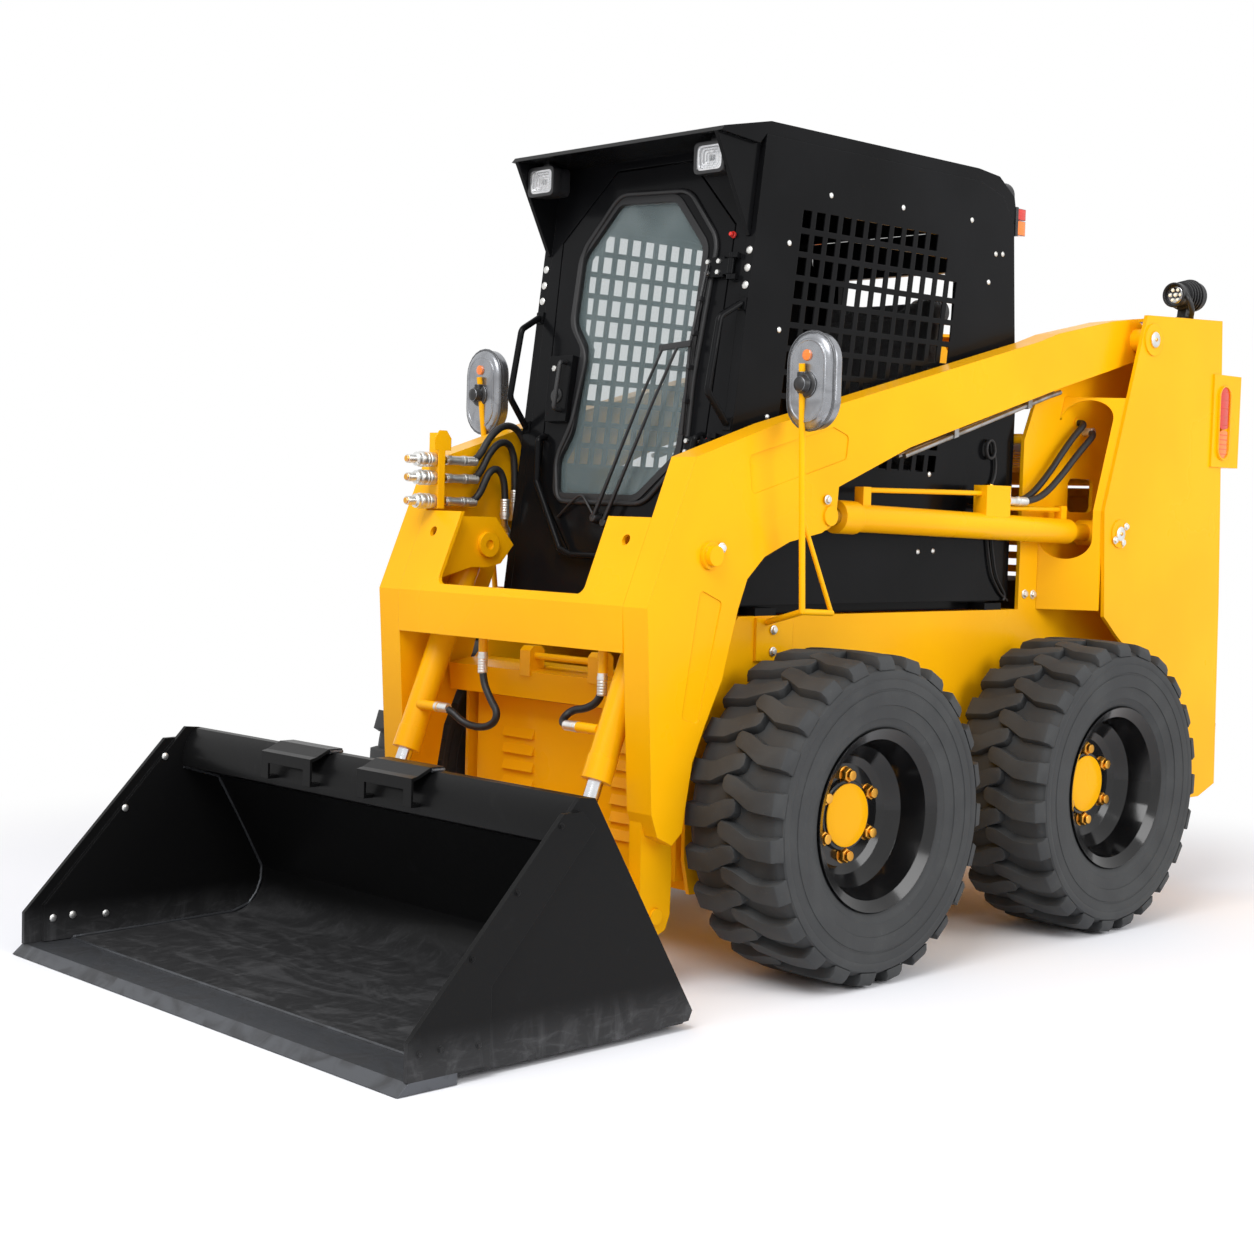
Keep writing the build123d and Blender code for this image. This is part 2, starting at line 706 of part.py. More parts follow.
def cross_plate():
    """The yoke between the arms: a front plate bent back at the top, with two ears and the gussets."""
    low = (-1110, 825)
    bend = (-1114, 937)
    lean = (-963 + 1114) / (1298 - 937)
    ear_z = 1150
    thick = 12

    def slope(z):
        return bend[0] + lean * (z - bend[1])

    plate = side_plate([low, bend, (slope(ear_z), ear_z), (slope(ear_z) + thick, ear_z),
                        (bend[0] + thick, bend[1]), (low[0] + thick, low[1])], -arm_inside, arm_inside)
    cut = block(-284, 284, -1200, -900, 958, 1200)
    plate -= fillet(cut.edges().filter_by(Axis.Y).group_by(Axis.Z)[0], 22)
    for x in (-373, 373):
        plate -= Pos(x, slope(1094), 1094) * Rot(90, 0, 0) * Cylinder(13, 80)
    plate += side_plate([(-1106, 830), (-1030, 840), (-1030, 852), (-1106, 842)], -316, 316)
    for x, z in (tilt_hose_left[0][::2], tilt_hose_right[0][::2]):
        plate += Pos(x, tilt_hose_left[0][1], 0) * Pos(0, 0, (z + 842) / 2) * Cylinder(ferrule_radius, 842 - z)
    gusset = side_plate([(slope(1137) + 6, 1137), (-877, 1136), (-812, 1061), (-857, 1010), (-906, 998),
                         (-960, 1000), (slope(962) + 6, 962)], 316, 328)
    yoke = Pos(0, nose, 0) * (plate + gusset + mirrored(gusset))
    pin = cross_rod(20, 306, arm_inside, tilt_base) + cross_rod(34, 304, 316, tilt_base)
    pin -= cross_rod(13, 300, 310, tilt_base)
    return yoke + pin + mirrored(pin)


def coupler_bracket():
    """The quick couplers on their upright plate inside the right arm, and the fittings their hoses go to."""
    wall = -arm_inside
    plate = block(wall, -384, -1018, -1012, 1155, 1360)
    plate += block(-388, -384, -1026, -1004, 1155, 1360)
    tab = side_plate([(-1040, 1312), (-984, 1312), (-984, 1345), (-1000, 1366), (-1024, 1366), (-1040, 1345)],
                     -388, -384)
    couplers = plate + tab
    for x, y, z in (upper_hose[0], middle_hose[0], lower_hose[0]):
        couplers += bar((x, -1083, z), (x, -1022, z), 19) + bar((x, -1022, z), (x, -960, z), 9)
        couplers += bar((x, -965, z), (x, y, z), ferrule_radius)
    x, y, z = upper_hose[-1]
    couplers += block(wall, x + 12, y - 14, y + 14, z - 16, z)
    x, y, z = middle_hose[-1]
    couplers += bar((x, y, z), (x, y, z - 34), ferrule_radius) + block(wall, x + 12, y - 12, y + 12, z - 50, z - 34)
    x, y, z = lower_hose[-1]
    bend, elbow, foot = (x, y, z - 14), (-412, -764, 1116), (-421, -738, 1090)
    couplers += bar((x, y, z), bend, 11) + Pos(*bend) * Sphere(11) + bar(bend, elbow, 9)
    couplers += Pos(*elbow) * Sphere(9) + bar(elbow, foot, 8)
    couplers += block(wall, foot[0] + 8, foot[1] - 12, foot[1] + 12, foot[2] - 12, foot[2] + 6)
    return Pos(0, nose, 0) * couplers


def arm_pipes():
    """Steel oil pipes clipped under each arm."""
    knee = arm_under[2]
    share = (pipe_end_y - knee[0]) / (arm_under[3][0] - knee[0])
    end_z = knee[1] + share * (arm_under[3][1] - knee[1])
    pipes = None
    for x in pipe_x:
        low = (x, arm_under[0][0] + 24, arm_under[0][1] - pipe_drop)
        middle = (x, knee[0], knee[1] - pipe_drop)
        high = (x, pipe_end_y, end_z - pipe_drop)
        pipe = bar(low, middle, pipe_radius) + bar(middle, high, pipe_radius)
        pipe += Pos(*middle) * Sphere(pipe_radius)
        pipes = pipe if pipes is None else pipes + pipe
    for start, end in zip(arm_under[:2], arm_under[1:]):
        here = along(start, end, math.dist(start, end) * 0.5)
        low, high = along(here, end, -10), along(here, end, 10)
        drop = pipe_drop + pipe_radius + 3
        pipes += side_plate([low, high, (high[0], high[1] - drop), (low[0], low[1] - drop)],
                            pipe_x[0] - 10, pipe_x[1] + 10)
    return both(pipes)


# Oil hoses: the points are chosen by hand, and kept as they are

hose_port_proud = 6
hose_ports = ((771, 1463), (801, 1437))
lift_hose_upper = [
    (464, 400, 1221), (464, 448, 1221), (464, 512, 1247), (464, 590, 1310), (464, 652, 1370), (464, 702, 1415),
    (464, 735, 1440), (463, 754, 1452), (458, 765, 1459), (449, 771, 1463), (436, 771, 1463),
]
lift_hose_lower = [
    (492, 400, 1221), (492, 454, 1221), (492, 528, 1243), (492, 612, 1302), (492, 680, 1359), (491, 735, 1399),
    (487, 770, 1420), (476, 792, 1432), (458, 801, 1437), (436, 801, 1437),
]
tilt_hose_left = [
    (305, -1050, 745), (305, -1050, 717), (290, -1053, 690), (258, -1060, 673), (222, -1062, 668),
    (207, -1073, 657), (207, -1089, 643), (222, -1100, 632), (265, -1100, 632),
]
tilt_hose_right = [
    (-152, -1050, 765), (-152, -1050, 713), (-114, -1053, 663), (-80, -1056, 634), (-88, -1060, 603),
    (-130, -1066, 587), (-186, -1082, 594), (-226, -1100, 632), (-265, -1100, 632),
]
upper_hose = [
    (-410, -911, 1287), (-410, -884, 1287), (-410, -857, 1309), (-410, -833, 1349), (-410, -793, 1384),
    (-414, -751, 1393), (-419, -713, 1378), (-420, -687, 1341), (-419, -675, 1278), (-419, -672, 1205),
    (-419, -672, 1160),
]
middle_hose = [
    (-410, -906, 1238), (-410, -880, 1238), (-410, -854, 1264), (-410, -830, 1308), (-410, -796, 1341),
    (-411, -762, 1345), (-416, -735, 1318), (-418, -727, 1270), (-418, -725, 1215), (-418, -725, 1176),
]
lower_hose = [
    (-410, -911, 1175), (-410, -886, 1175), (-405, -864, 1197), (-398, -851, 1232), (-398, -838, 1257),
    (-398, -815, 1271), (-398, -793, 1260), (-399, -780, 1232), (-400, -775, 1190), (-400, -775, 1150),
]


# Cylinders

def barrel(base, eye, x, radii, start, end, gland, eye_width):
    """A cylinder's barrel between two distances from its base, with its base eye and the rod's bore."""
    outer, gland_radius, rod_radius = radii
    high = along(base, eye, end)
    tube = bar((x, *along(base, eye, start)), (x, *high), outer)
    tube += bar((x, *along(base, eye, end - gland)), (x, *high), gland_radius)
    hollow = bar((x, *along(base, eye, start + 34)), (x, *along(base, eye, end + 5)), rod_radius + running_gap)
    neck = bar((x, *along(base, eye, 10)), (x, *along(base, eye, start + 10)), outer * 0.7)
    ring = cross_rod(outer * 1.05, x - eye_width / 2, x + eye_width / 2, base)
    return tube + neck + ring - hollow


def rod(base, eye, x, radius, length, eye_radius, eye_width):
    """A cylinder's rod with the eye at its end."""
    reach = math.dist(base, eye)
    shaft = bar((x, *along(base, eye, reach - length)), (x, *eye), radius)
    ring = cross_rod(eye_radius, x - eye_width / 2, x + eye_width / 2, eye)
    hole = cross_rod(16, x - eye_width, x + eye_width, eye)
    return shaft + ring - hole


def lift_barrel():
    """The left lift cylinder's barrel, with its port blocks, steel oil lines and two hose ends."""
    radii = (lift_barrel_radius, lift_gland_radius, lift_rod_radius)
    body = barrel(lift_base, lift_eye, lift_x, radii, 122, lift_barrel_end, 75, 70)
    body += block(lift_x - 15, lift_x + 15, -300, -268, 1190, 1244)
    body += block(lift_x - 23, lift_x + 23, 234, 348, 1175, 1263)
    body += block(lift_x - 12, lift_x + 12, 620, 648, 1168, 1212)
    body += bar((lift_x, -270, 1236), (lift_x, 236, 1240), pipe_radius)
    body += bar((lift_x, 346, 1201), (lift_x, 622, 1201), pipe_radius)
    for points in (lift_hose_upper, lift_hose_lower):
        x, y, z = points[0]
        body += bar((x, 346, z), (x, y, z), ferrule_radius)
    return body - cross_rod(lift_pin_radius + running_gap, 400, 560, lift_base)


def lift_rod():
    """The left lift cylinder's rod."""
    return rod(lift_base, lift_eye, lift_x, lift_rod_radius, lift_rod_length, 38, 50)


def tilt_barrel():
    """The left tilt cylinder's barrel, with the boss where its hose arrives."""
    radii = (tilt_barrel_radius, tilt_gland_radius, tilt_rod_radius)
    body = barrel(tilt_base, tilt_eye, tilt_x, radii, 60, tilt_barrel_end, 60, 60)
    x, y, z = tilt_hose_left[-1]
    body += cross_rod(13, x, tilt_x - 22, (y + nose, z))
    return body - cross_rod(bucket_pin_radius + running_gap, 300, 440, tilt_base)


def tilt_rod():
    """The left tilt cylinder's rod."""
    return rod(tilt_base, tilt_eye, tilt_x, tilt_rod_radius, tilt_rod_length, 36, 56)


# Bucket

# The bucket is drawn with the front axle at half of drawn_wheelbase, and moved with it

mount_low = (-1205, 60)
mount_high = (-1505, 540)


def mount_line(z, away):
    """The (y, z) point at a height on the bucket's leaning mounting face, and how far behind it."""
    slope = (mount_high[0] - mount_low[0]) / (mount_high[1] - mount_low[1])
    return (mount_low[0] + slope * (z - mount_low[1]) + away, z)


def bucket_shell():
    """The floor, the curved back and the rolled top lip."""
    wall = 10
    inside = bucket_half - cutter_plate - bucket_plate
    floor_z = bucket_clear_z + edge_thick
    inner = Polyline((-1885, floor_z + 2), (-1403, 37))
    curve = ThreePointArc((-1403, 37), (-1325, 82), (-1309, 156))
    back = Polyline((-1309, 156), (-1453, 418), (-1565, 451))
    lip = ThreePointArc((-1565, 451), (-1563, 499), (-1528, 550))
    outside = Polyline((-1528, 550), (-1512, 552), (-1440, 424), (-1296, 160))
    under = ThreePointArc((-1296, 160), (-1316, 72), (-1400, 26))
    close = Polyline((-1400, 26), (-1400, 14), (-1885, 14), (-1885, floor_z + 2))
    lines = Wire([*inner.edges(), *curve.edges(), *back.edges(), *lip.edges(), *outside.edges(),
                  *under.edges(), *close.edges()])
    face = Plane.YZ * Face(lines)
    sheet = extrude(Pos(-inside, 0, 0) * face, amount=2 * inside, dir=(1, 0, 0))
    heel = side_plate([(-1401, 14), (-1212, 14), mount_line(35, 0), mount_line(41, -wall), (-1220, 26),
                       (-1401, 26)], -inside, inside)
    mounting = side_plate([mount_line(35, 0), mount_line(540, 0), mount_line(540, -wall), mount_line(35, -wall)],
                          -inside, inside)
    return Pos(0, nose, 0) * (sheet + heel + mounting)


def bucket_side():
    """The left side plate and the cutter plate bolted to its front edge."""
    low = bucket_clear_z
    inside = bucket_half - cutter_plate - bucket_plate
    plate = side_plate([
        (-1964, low + edge_thick + 2), (-1965, 121), (-1557, 556), (-1512, 552), (-1194, 44), (-1205, 22),
        (-1365, 14), (-1885, 14), (-1885, low + edge_thick + 2),
    ], inside, inside + bucket_plate)
    cutter = side_plate([
        (-2013, low + edge_thick), (-2013, 106), (-1613, 527), (-1559, 528), (-1520, 490), (-1800, 190),
        (-1800, low + edge_thick),
    ], inside + bucket_plate, bucket_half)
    return Pos(0, nose, 0) * (plate + cutter)


def cutting_edge():
    """The thick bevelled edge across the bucket's front."""
    low = bucket_clear_z
    rear, crest = nose - 1886, nose - 2010
    return side_plate([(front_tip_y, low), (rear, low), (rear, low + edge_thick), (crest, low + edge_thick)],
                      -bucket_half, bucket_half)


def bucket_steps():
    """Two folded step plates on the top lip."""
    steps = []
    for x in (-250, 150):
        step = side_plate([(-1596, 470), (-1568.5, 470), (-1568.5, 478), (-1590, 478), (-1590, 530), (-1572, 536),
                           (-1538, 552.3), (-1500, 552.3), (-1500, 560), (-1540, 560), (-1578, 542), (-1596, 538)],
                          x - 105, x + 105)
        step -= block(x - 75, x + 75, -1600, -1560, 460, 510)
        steps.append(Pos(0, nose, 0) * step)
    return steps


def attach_frame():
    """The quick attach frame: its leaning plate, pivot ears and cylinder lugs."""
    half = chassis_half
    plate = side_plate([mount_line(95, 0), mount_line(480, 0), mount_line(480, 15), mount_line(95, 15)], -half, half)
    plate += side_plate([mount_line(480, 0), mount_line(500, 0), mount_line(500, 40), mount_line(480, 40)],
                        -half, half)
    ear = side_plate([mount_line(95, 10), mount_line(440, 10), (-1225, 398), (-1186, 407), (-1148, 392),
                      (-1133, 340), (-1000, 232), (-970, 200), (-972, 160), (-1000, 136), (-1032, 134)], 415, half)
    lug = side_plate([mount_line(150, 10), mount_line(440, 10), (-1225, 398), (-1186, 407), (-1148, 392),
                      (-1140, 330)], 316, 328)
    pin = cross_rod(bucket_pin_radius, 412, arm_inside + leg_thick + 8, bucket_pivot)
    pin += cross_rod(34, 404, 415, bucket_pivot) + cross_rod(28, 306, 316, tilt_eye)
    drawn = ear + lug
    return Pos(0, nose, 0) * (plate + drawn + mirrored(drawn)) + pin + mirrored(pin)


# Every piece is written to its own file

for side_name, turn in (("left", lambda shape: shape), ("right", mirrored)):
    for end_name, wheel_y in (("front", front_wheel_y), ("rear", rear_wheel_y)):
        save(f"{end_name}_{side_name}_tyre", turn(tyre(wheel_y)))
        save(f"{end_name}_{side_name}_rim", turn(rim(wheel_y)))
    save(f"{side_name}_lift_arm", turn(arm()))
    save(f"{side_name}_lift_barrel", turn(lift_barrel()))
    save(f"{side_name}_lift_rod", turn(lift_rod()))
    save(f"{side_name}_tilt_barrel", turn(tilt_barrel()))
    save(f"{side_name}_tilt_rod", turn(tilt_rod()))
    save(f"{side_name}_lift_hose_upper", turn(hose("upper lift hose", lift_hose_upper)))
    save(f"{side_name}_lift_hose_lower", turn(hose("lower lift hose", lift_hose_lower)))

for name, points in (("left_tilt_hose", tilt_hose_left), ("right_tilt_hose", tilt_hose_right),
                     ("upper_coupler_hose", upper_hose), ("middle_coupler_hose", middle_hose),
                     ("lower_coupler_hose", lower_hose)):
    save(name, Pos(0, nose, 0) * hose(name, points))

save("lift_towers", *both(tower()))
save("cab_sides", *both(cab_side()))
save("axles", *axles())
save("chassis_frame", chassis_frame())
save("rear_bumper", rear_bumper())
save("engine_block", engine_block())
save("front_panel", front_panel())
save("cab_floor", cab_floor())
save("cab_roof", cab_roof())
save("cab_rear_wall", cab_rear_wall())
save("cab_front_frame", cab_front_frame())
save("cab_door", cab_door())
save("door_glass", door_glass())
save("seat_base", *seat_base())
save("seat_cushion", seat_cushion())
save("seat_back", seat_back())
save("control_levers", *control_levers())
save("safety_bar", safety_bar())
save("grab_handles", *grab_handles())
save("mirrors", *mirrors())
save("tail_lamps", *tail_lamps())
save("work_lamps", *work_lamps())
save("engine_hood", engine_hood())
save("rear_door", rear_door())
save("cross_plate", cross_plate())
save("coupler_bracket", coupler_bracket())
save("arm_pipes", *arm_pipes())
save("bucket_shell", bucket_shell())
save("bucket_sides", *both(bucket_side()))
save("cutting_edge", cutting_edge())
save("bucket_steps", *bucket_steps())
save("attach_frame", attach_frame())
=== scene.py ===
import json
import math

import bmesh
import bpy
from mathutils import Matrix, Quaternion, Vector


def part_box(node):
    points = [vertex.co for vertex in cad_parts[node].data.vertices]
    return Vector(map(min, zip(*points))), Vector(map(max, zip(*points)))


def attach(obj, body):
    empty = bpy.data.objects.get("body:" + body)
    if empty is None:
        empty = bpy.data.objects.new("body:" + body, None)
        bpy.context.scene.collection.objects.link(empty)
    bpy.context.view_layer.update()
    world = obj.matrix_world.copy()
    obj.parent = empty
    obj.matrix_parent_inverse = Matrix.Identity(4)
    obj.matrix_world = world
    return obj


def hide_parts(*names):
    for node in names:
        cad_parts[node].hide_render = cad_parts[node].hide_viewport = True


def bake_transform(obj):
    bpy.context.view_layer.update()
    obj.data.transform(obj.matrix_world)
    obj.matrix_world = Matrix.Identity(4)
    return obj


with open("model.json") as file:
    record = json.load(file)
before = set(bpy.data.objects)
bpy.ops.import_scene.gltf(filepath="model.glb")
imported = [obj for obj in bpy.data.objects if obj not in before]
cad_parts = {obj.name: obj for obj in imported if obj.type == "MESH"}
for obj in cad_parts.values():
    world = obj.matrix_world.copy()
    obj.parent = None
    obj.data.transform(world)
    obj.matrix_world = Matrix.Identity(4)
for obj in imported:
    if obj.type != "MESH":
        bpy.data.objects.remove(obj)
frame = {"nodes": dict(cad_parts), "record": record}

scene = bpy.context.scene
nodes = frame["nodes"]
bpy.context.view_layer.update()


def newPiece(name, data):
    piece = bpy.data.objects.new(name, data)
    scene.collection.objects.link(piece)
    return piece


# Camera, fitted to mirrored points of the machine

camera = {
    "place": (3.8875, -4.1704, 1.1726), "yaw": 46.134, "down": 3.413, "roll": 1.585,
    "sensor": 36, "lens": 57.861, "shift": (0.00612, 0.00026), "reach": 60,
}


def makeCamera(facts):
    yaw, down, roll = (math.radians(facts[name]) for name in ("yaw", "down", "roll"))
    ahead = Vector((-math.sin(yaw) * math.cos(down), math.cos(yaw) * math.cos(down), -math.sin(down)))
    level = ahead.cross(Vector((0, 0, 1))).normalized()
    upright = level.cross(ahead)
    right = level * math.cos(roll) + upright * math.sin(roll)
    up = upright * math.cos(roll) - level * math.sin(roll)
    data = bpy.data.cameras.new("camera")
    data.sensor_width = facts["sensor"]
    data.lens = facts["lens"]
    data.shift_x, data.shift_y = facts["shift"]
    data.clip_end = facts["reach"]
    scene.camera = newPiece("camera", data)
    scene.camera.matrix_world = (Matrix.Translation(facts["place"]) @
                                 Matrix((right, up, -ahead)).transposed().to_4x4())


makeCamera(camera)
print("camera made")


# Shader maths: a wrapped socket that adds its own Math nodes

class Value:
    def __init__(self, finish, socket):
        self.finish, self.socket = finish, socket

    def chain(self, operation, other, swap=False):
        pair = [other, self] if swap else [self, other]
        return self.finish.node("ShaderNodeMath", {"operation": operation}, dict(enumerate(pair)))

    def __add__(self, other):
        return self.chain("ADD", other)

    def __sub__(self, other):
        return self.chain("SUBTRACT", other)

    def __rsub__(self, other):
        return self.chain("SUBTRACT", other, True)

    def __mul__(self, other):
        return self.chain("MULTIPLY", other)

    __radd__ = __add__
    __rmul__ = __mul__


class Finish:
    def __init__(self, name):
        self.material = bpy.data.materials.new(name)
        self.material.use_nodes = True
        self.tree = self.material.node_tree
        self.shader = self.tree.nodes["Principled BSDF"]
        self.place = self.node("ShaderNodeTexCoord", out="Object")

    def node(self, kind, settings=None, values=None, out=0):
        made = self.tree.nodes.new(kind)
        for name, value in (settings or {}).items():
            setattr(made, name, value)
        for name, value in (values or {}).items():
            self.feed(made.inputs[name], value)
        return Value(self, made.outputs[out])

    def feed(self, socket, value):
        if isinstance(value, Value):
            self.tree.links.new(value.socket, socket)
        else:
            socket.default_value = value

    def cloud(self, scale, detail=3, stretch=(1, 1, 1), twist=0, rough=0.5):
        # a noise over the piece, in metres
        place = self.node("ShaderNodeMapping", None, {"Vector": self.place, "Scale": stretch})
        return self.node("ShaderNodeTexNoise", None, {
            "Vector": place, "Scale": scale, "Detail": detail, "Distortion": twist, "Roughness": rough})

    def step(self, value, low, high, least=0, most=1):
        # a smooth step of a value between two limits
        return self.node("ShaderNodeMapRange", {"interpolation_type": "SMOOTHSTEP"},
                         {0: value, 1: low, 2: high, 3: least, 4: most})

    def mix(self, share, low, high):
        return self.node("ShaderNodeMix", {"data_type": "RGBA"}, {0: share, 6: low, 7: high}, out=2)

    def height(self):
        return self.node("ShaderNodeSeparateXYZ", None, {0: self.place}, out=2)

    def rounded(self, radius):
        # softened edges of a plain solid
        return self.node("ShaderNodeBevel", {"samples": 4}, {"Radius": radius})

    def bump(self, height, depth, strength=1, below=None):
        values = {"Height": height, "Distance": depth, "Strength": strength}
        if below:
            values["Normal"] = below
        return self.node("ShaderNodeBump", None, values)

    def set(self, sockets):
        for name, value in sockets.items():
            self.feed(self.shader.inputs[name], value)
        return self.material


def grey(value, alpha=1):
    return (value, value, value * 1.03, alpha)


def enamel(name, colour, shade, dust, gloss, coat, shine=0.5, film=0.25, edge=0.0025):
    # sprayed paint: slight orange peel, uneven tone, a little dust
    paint = Finish(name)
    tone = paint.step(paint.cloud(2.3, 4), 0.3, 0.7)
    grime = paint.step(paint.cloud(9, 6, twist=0.6), 0.52, 0.78) * paint.step(paint.height(), 0.9, 0.02) * film
    body = paint.mix(tone, (*colour, 1), (*shade, 1))
    peel = paint.bump(paint.cloud(230, 2), 0.0003, 0.15, paint.rounded(edge))
    return paint.set({
        "Base Color": paint.mix(grime, body, (*dust, 1)),
        "Roughness": tone * 0.08 + grime * 0.6 + gloss,
        "Specular IOR Level": shine,
        "Coat Weight": coat,
        "Coat Roughness": 0.08,
        "Normal": peel,
    })


def scuffedBlack():
    # charcoal enamel of the bucket, rubbed grey in swirls where earth slides over it
    paint = Finish("scuffedBlack")
    low = paint.step(paint.height(), 0.13, 0.03)
    swirl = paint.step(paint.cloud(3.2, 7, (1.0, 2.4, 1.0), 2.2, 0.62), 0.44, 0.66)
    fine = paint.step(paint.cloud(34, 6, (1, 0.35, 1), 1.2, 0.7), 0.48, 0.72)
    rub = low * (swirl * 0.3 + fine * 0.3 + 0.3)
    scuff = paint.step(paint.cloud(6, 8, twist=1.4, rough=0.7), 0.58, 0.8) * 0.4
    tone = paint.mix(scuff, grey(0.006), grey(0.028))
    return paint.set({
        "Base Color": paint.mix(rub, tone, grey(0.092)),
        "Roughness": scuff * 0.2 + rub * 0.25 + 0.32,
        "Specular IOR Level": 0.09,
        "Coat Weight": 0.03,
        "Normal": paint.bump(paint.cloud(55, 5, twist=0.8), 0.0008, 0.25, paint.rounded(0.002)),
    })


def bareSteel(name, colour, dark, rough, metal=1.0, grain=60, stretch=(1, 1, 1)):
    steel = Finish(name)
    stain = steel.step(steel.cloud(14, 6, twist=0.9), 0.4, 0.72)
    brush = steel.cloud(grain, 4, stretch)
    return steel.set({
        "Base Color": steel.mix(stain, (*colour, 1), (*dark, 1)),
        "Metallic": metal,
        "Roughness": brush * 0.18 + stain * 0.12 + rough,
        "Normal": steel.bump(brush, 0.0004, 0.25, steel.rounded(0.0012)),
    })


def rubber(name, colour, dust, grain, rough):
    gum = Finish(name)
    dull = gum.step(gum.cloud(7, 6, twist=0.5), 0.35, 0.7)
    specks = gum.step(gum.cloud(90, 3), 0.6, 0.75) * 0.25
    return gum.set({
        "Base Color": gum.mix(dull * 0.6 + specks, (*colour, 1), (*dust, 1)),
        "Roughness": dull * 0.15 + rough,
        "Specular IOR Level": 0.4,
        "Normal": gum.bump(gum.cloud(grain, 4), 0.0006, 0.35),
    })


def moulded(name, colour, rough, grain=420):
    plastic = Finish(name)
    tone = plastic.cloud(5, 3)
    return plastic.set({
        "Base Color": plastic.mix(tone, (*colour, 1), (*[c * 1.6 + 0.004 for c in colour], 1)),
        "Roughness": tone * 0.12 + rough,
        "Normal": plastic.bump(plastic.cloud(grain, 2), 0.0003, 0.4, plastic.rounded(0.0015)),
    })


def pane(name, colour, alpha, smear):
    # tinted glass, with a faint film of dust that thickens in patches
    glass = Finish(name)
    film = glass.step(glass.cloud(3.5, 5, twist=0.6), 0.35, 0.75)
    return glass.set({
        "Base Color": glass.mix(film, (*colour, 1), (*smear, 1)),
        "Roughness": film * 0.06 + 0.03,
        "Alpha": film * 0.06 + alpha,
        "Specular IOR Level": 0.5,
        "Normal": glass.bump(glass.cloud(4, 2), 0.0006, 0.1),
    })


def lensPlastic(name, colour, glow=0.0):
    lens = Finish(name)
    ribs = lens.node("ShaderNodeTexWave", {"bands_direction": "Z"}, {"Vector": lens.place, "Scale": 42}, out=1)
    return lens.set({
        "Base Color": lens.mix(lens.cloud(20, 2), (*colour, 1), (*[c * 0.8 for c in colour], 1)),
        "Roughness": ribs * 0.06 + 0.1,
        "Emission Color": (*colour, 1),
        "Emission Strength": glow,
        "Coat Weight": 0.6,
        "Normal": lens.bump(ribs, 0.0008, 0.5),
    })


def coverCloth(name):
    # woven seat cloth
    cloth = Finish(name)
    weave = cloth.node("ShaderNodeTexChecker", None, {"Vector": cloth.place, "Scale": 620}, out=1)
    fuzz = cloth.cloud(300, 3)
    return cloth.set({
        "Base Color": cloth.mix(cloth.cloud(9, 3), grey(0.014), grey(0.032)),
        "Roughness": fuzz * 0.1 + 0.75,
        "Sheen Weight": 0.3,
        "Normal": cloth.bump(weave * 0.6 + fuzz, 0.0005, 0.6),
    })


finishes = {
    "yellow_paint": enamel("yellowEnamel", (0.97, 0.475, 0.002), (0.93, 0.43, 0.002), (0.62, 0.36, 0.06), 0.26, 0.06,
                           0.12, 0.12),
    "black_paint": enamel("blackEnamel", (0.0045, 0.0046, 0.005), (0.0075, 0.0077, 0.0085), (0.05, 0.046, 0.042),
                          0.16, 0.05, 0.06, 0.2),
    "rim_paint": enamel("wheelEnamel", (0.003, 0.003, 0.0033), (0.005, 0.005, 0.0055), (0.05, 0.046, 0.042), 0.1,
                        0.3, 0.3, 0.15),
    "bucket_paint": scuffedBlack(),
    "worn_steel": bareSteel("wornSteel", (0.10, 0.105, 0.115), (0.065, 0.066, 0.070), 0.32, 0.7, 70, (0.2, 3, 1)),
    "chrome_rod": bareSteel("chrome", (0.72, 0.73, 0.75), (0.6, 0.61, 0.63), 0.07, 1.0, 120),
    "steel_pipe": bareSteel("platedPipe", (0.42, 0.42, 0.42), (0.25, 0.24, 0.22), 0.3),
    "cast_iron": bareSteel("castIron", (0.05, 0.05, 0.05), (0.028, 0.027, 0.026), 0.5, 0.6, 150),
    "tyre_rubber": rubber("tyreRubber", (0.026, 0.0275, 0.029), (0.058, 0.060, 0.060), 120, 0.62),
    "hose_rubber": rubber("hoseRubber", (0.010, 0.010, 0.011), (0.022, 0.022, 0.023), 260, 0.42),
    "cab_trim": moulded("cabTrim", (0.014, 0.014, 0.016), 0.45),
    "lamp": moulded("lampHousing", (0.010, 0.010, 0.011), 0.35),
    "glass": pane("tintedGlass", (0.17, 0.225, 0.23), 0.33, (0.26, 0.32, 0.325)),
    "seat_cover": coverCloth("seatCloth"),
}
zinc = bareSteel("zincPlate", (0.80, 0.80, 0.78), (0.58, 0.57, 0.54), 0.26, 0.9, 200)
brass = bareSteel("brass", (0.86, 0.44, 0.07), (0.60, 0.28, 0.04), 0.22, 1.0, 200)
redLens = lensPlastic("redLens", (0.62, 0.02, 0.008), 0.15)
amberLens = lensPlastic("amberLens", (0.90, 0.20, 0.01), 0.15)
clearLens = pane("clearLens", (0.75, 0.78, 0.80), 0.10, (0.8, 0.8, 0.8))
reflector = bareSteel("reflector", (0.80, 0.80, 0.81), (0.60, 0.60, 0.62), 0.03, 1.0, 90)
ledChip = lensPlastic("ledChip", (0.95, 0.90, 0.72), 0.35)
redPlastic = moulded("redPlastic", (0.55, 0.016, 0.010), 0.3)
greyShell = bareSteel("greyShell", (0.33, 0.34, 0.36), (0.22, 0.225, 0.24), 0.16, 0.8, 60)
print("finishes mixed")


# Light, and a pale floor that keeps the shadow

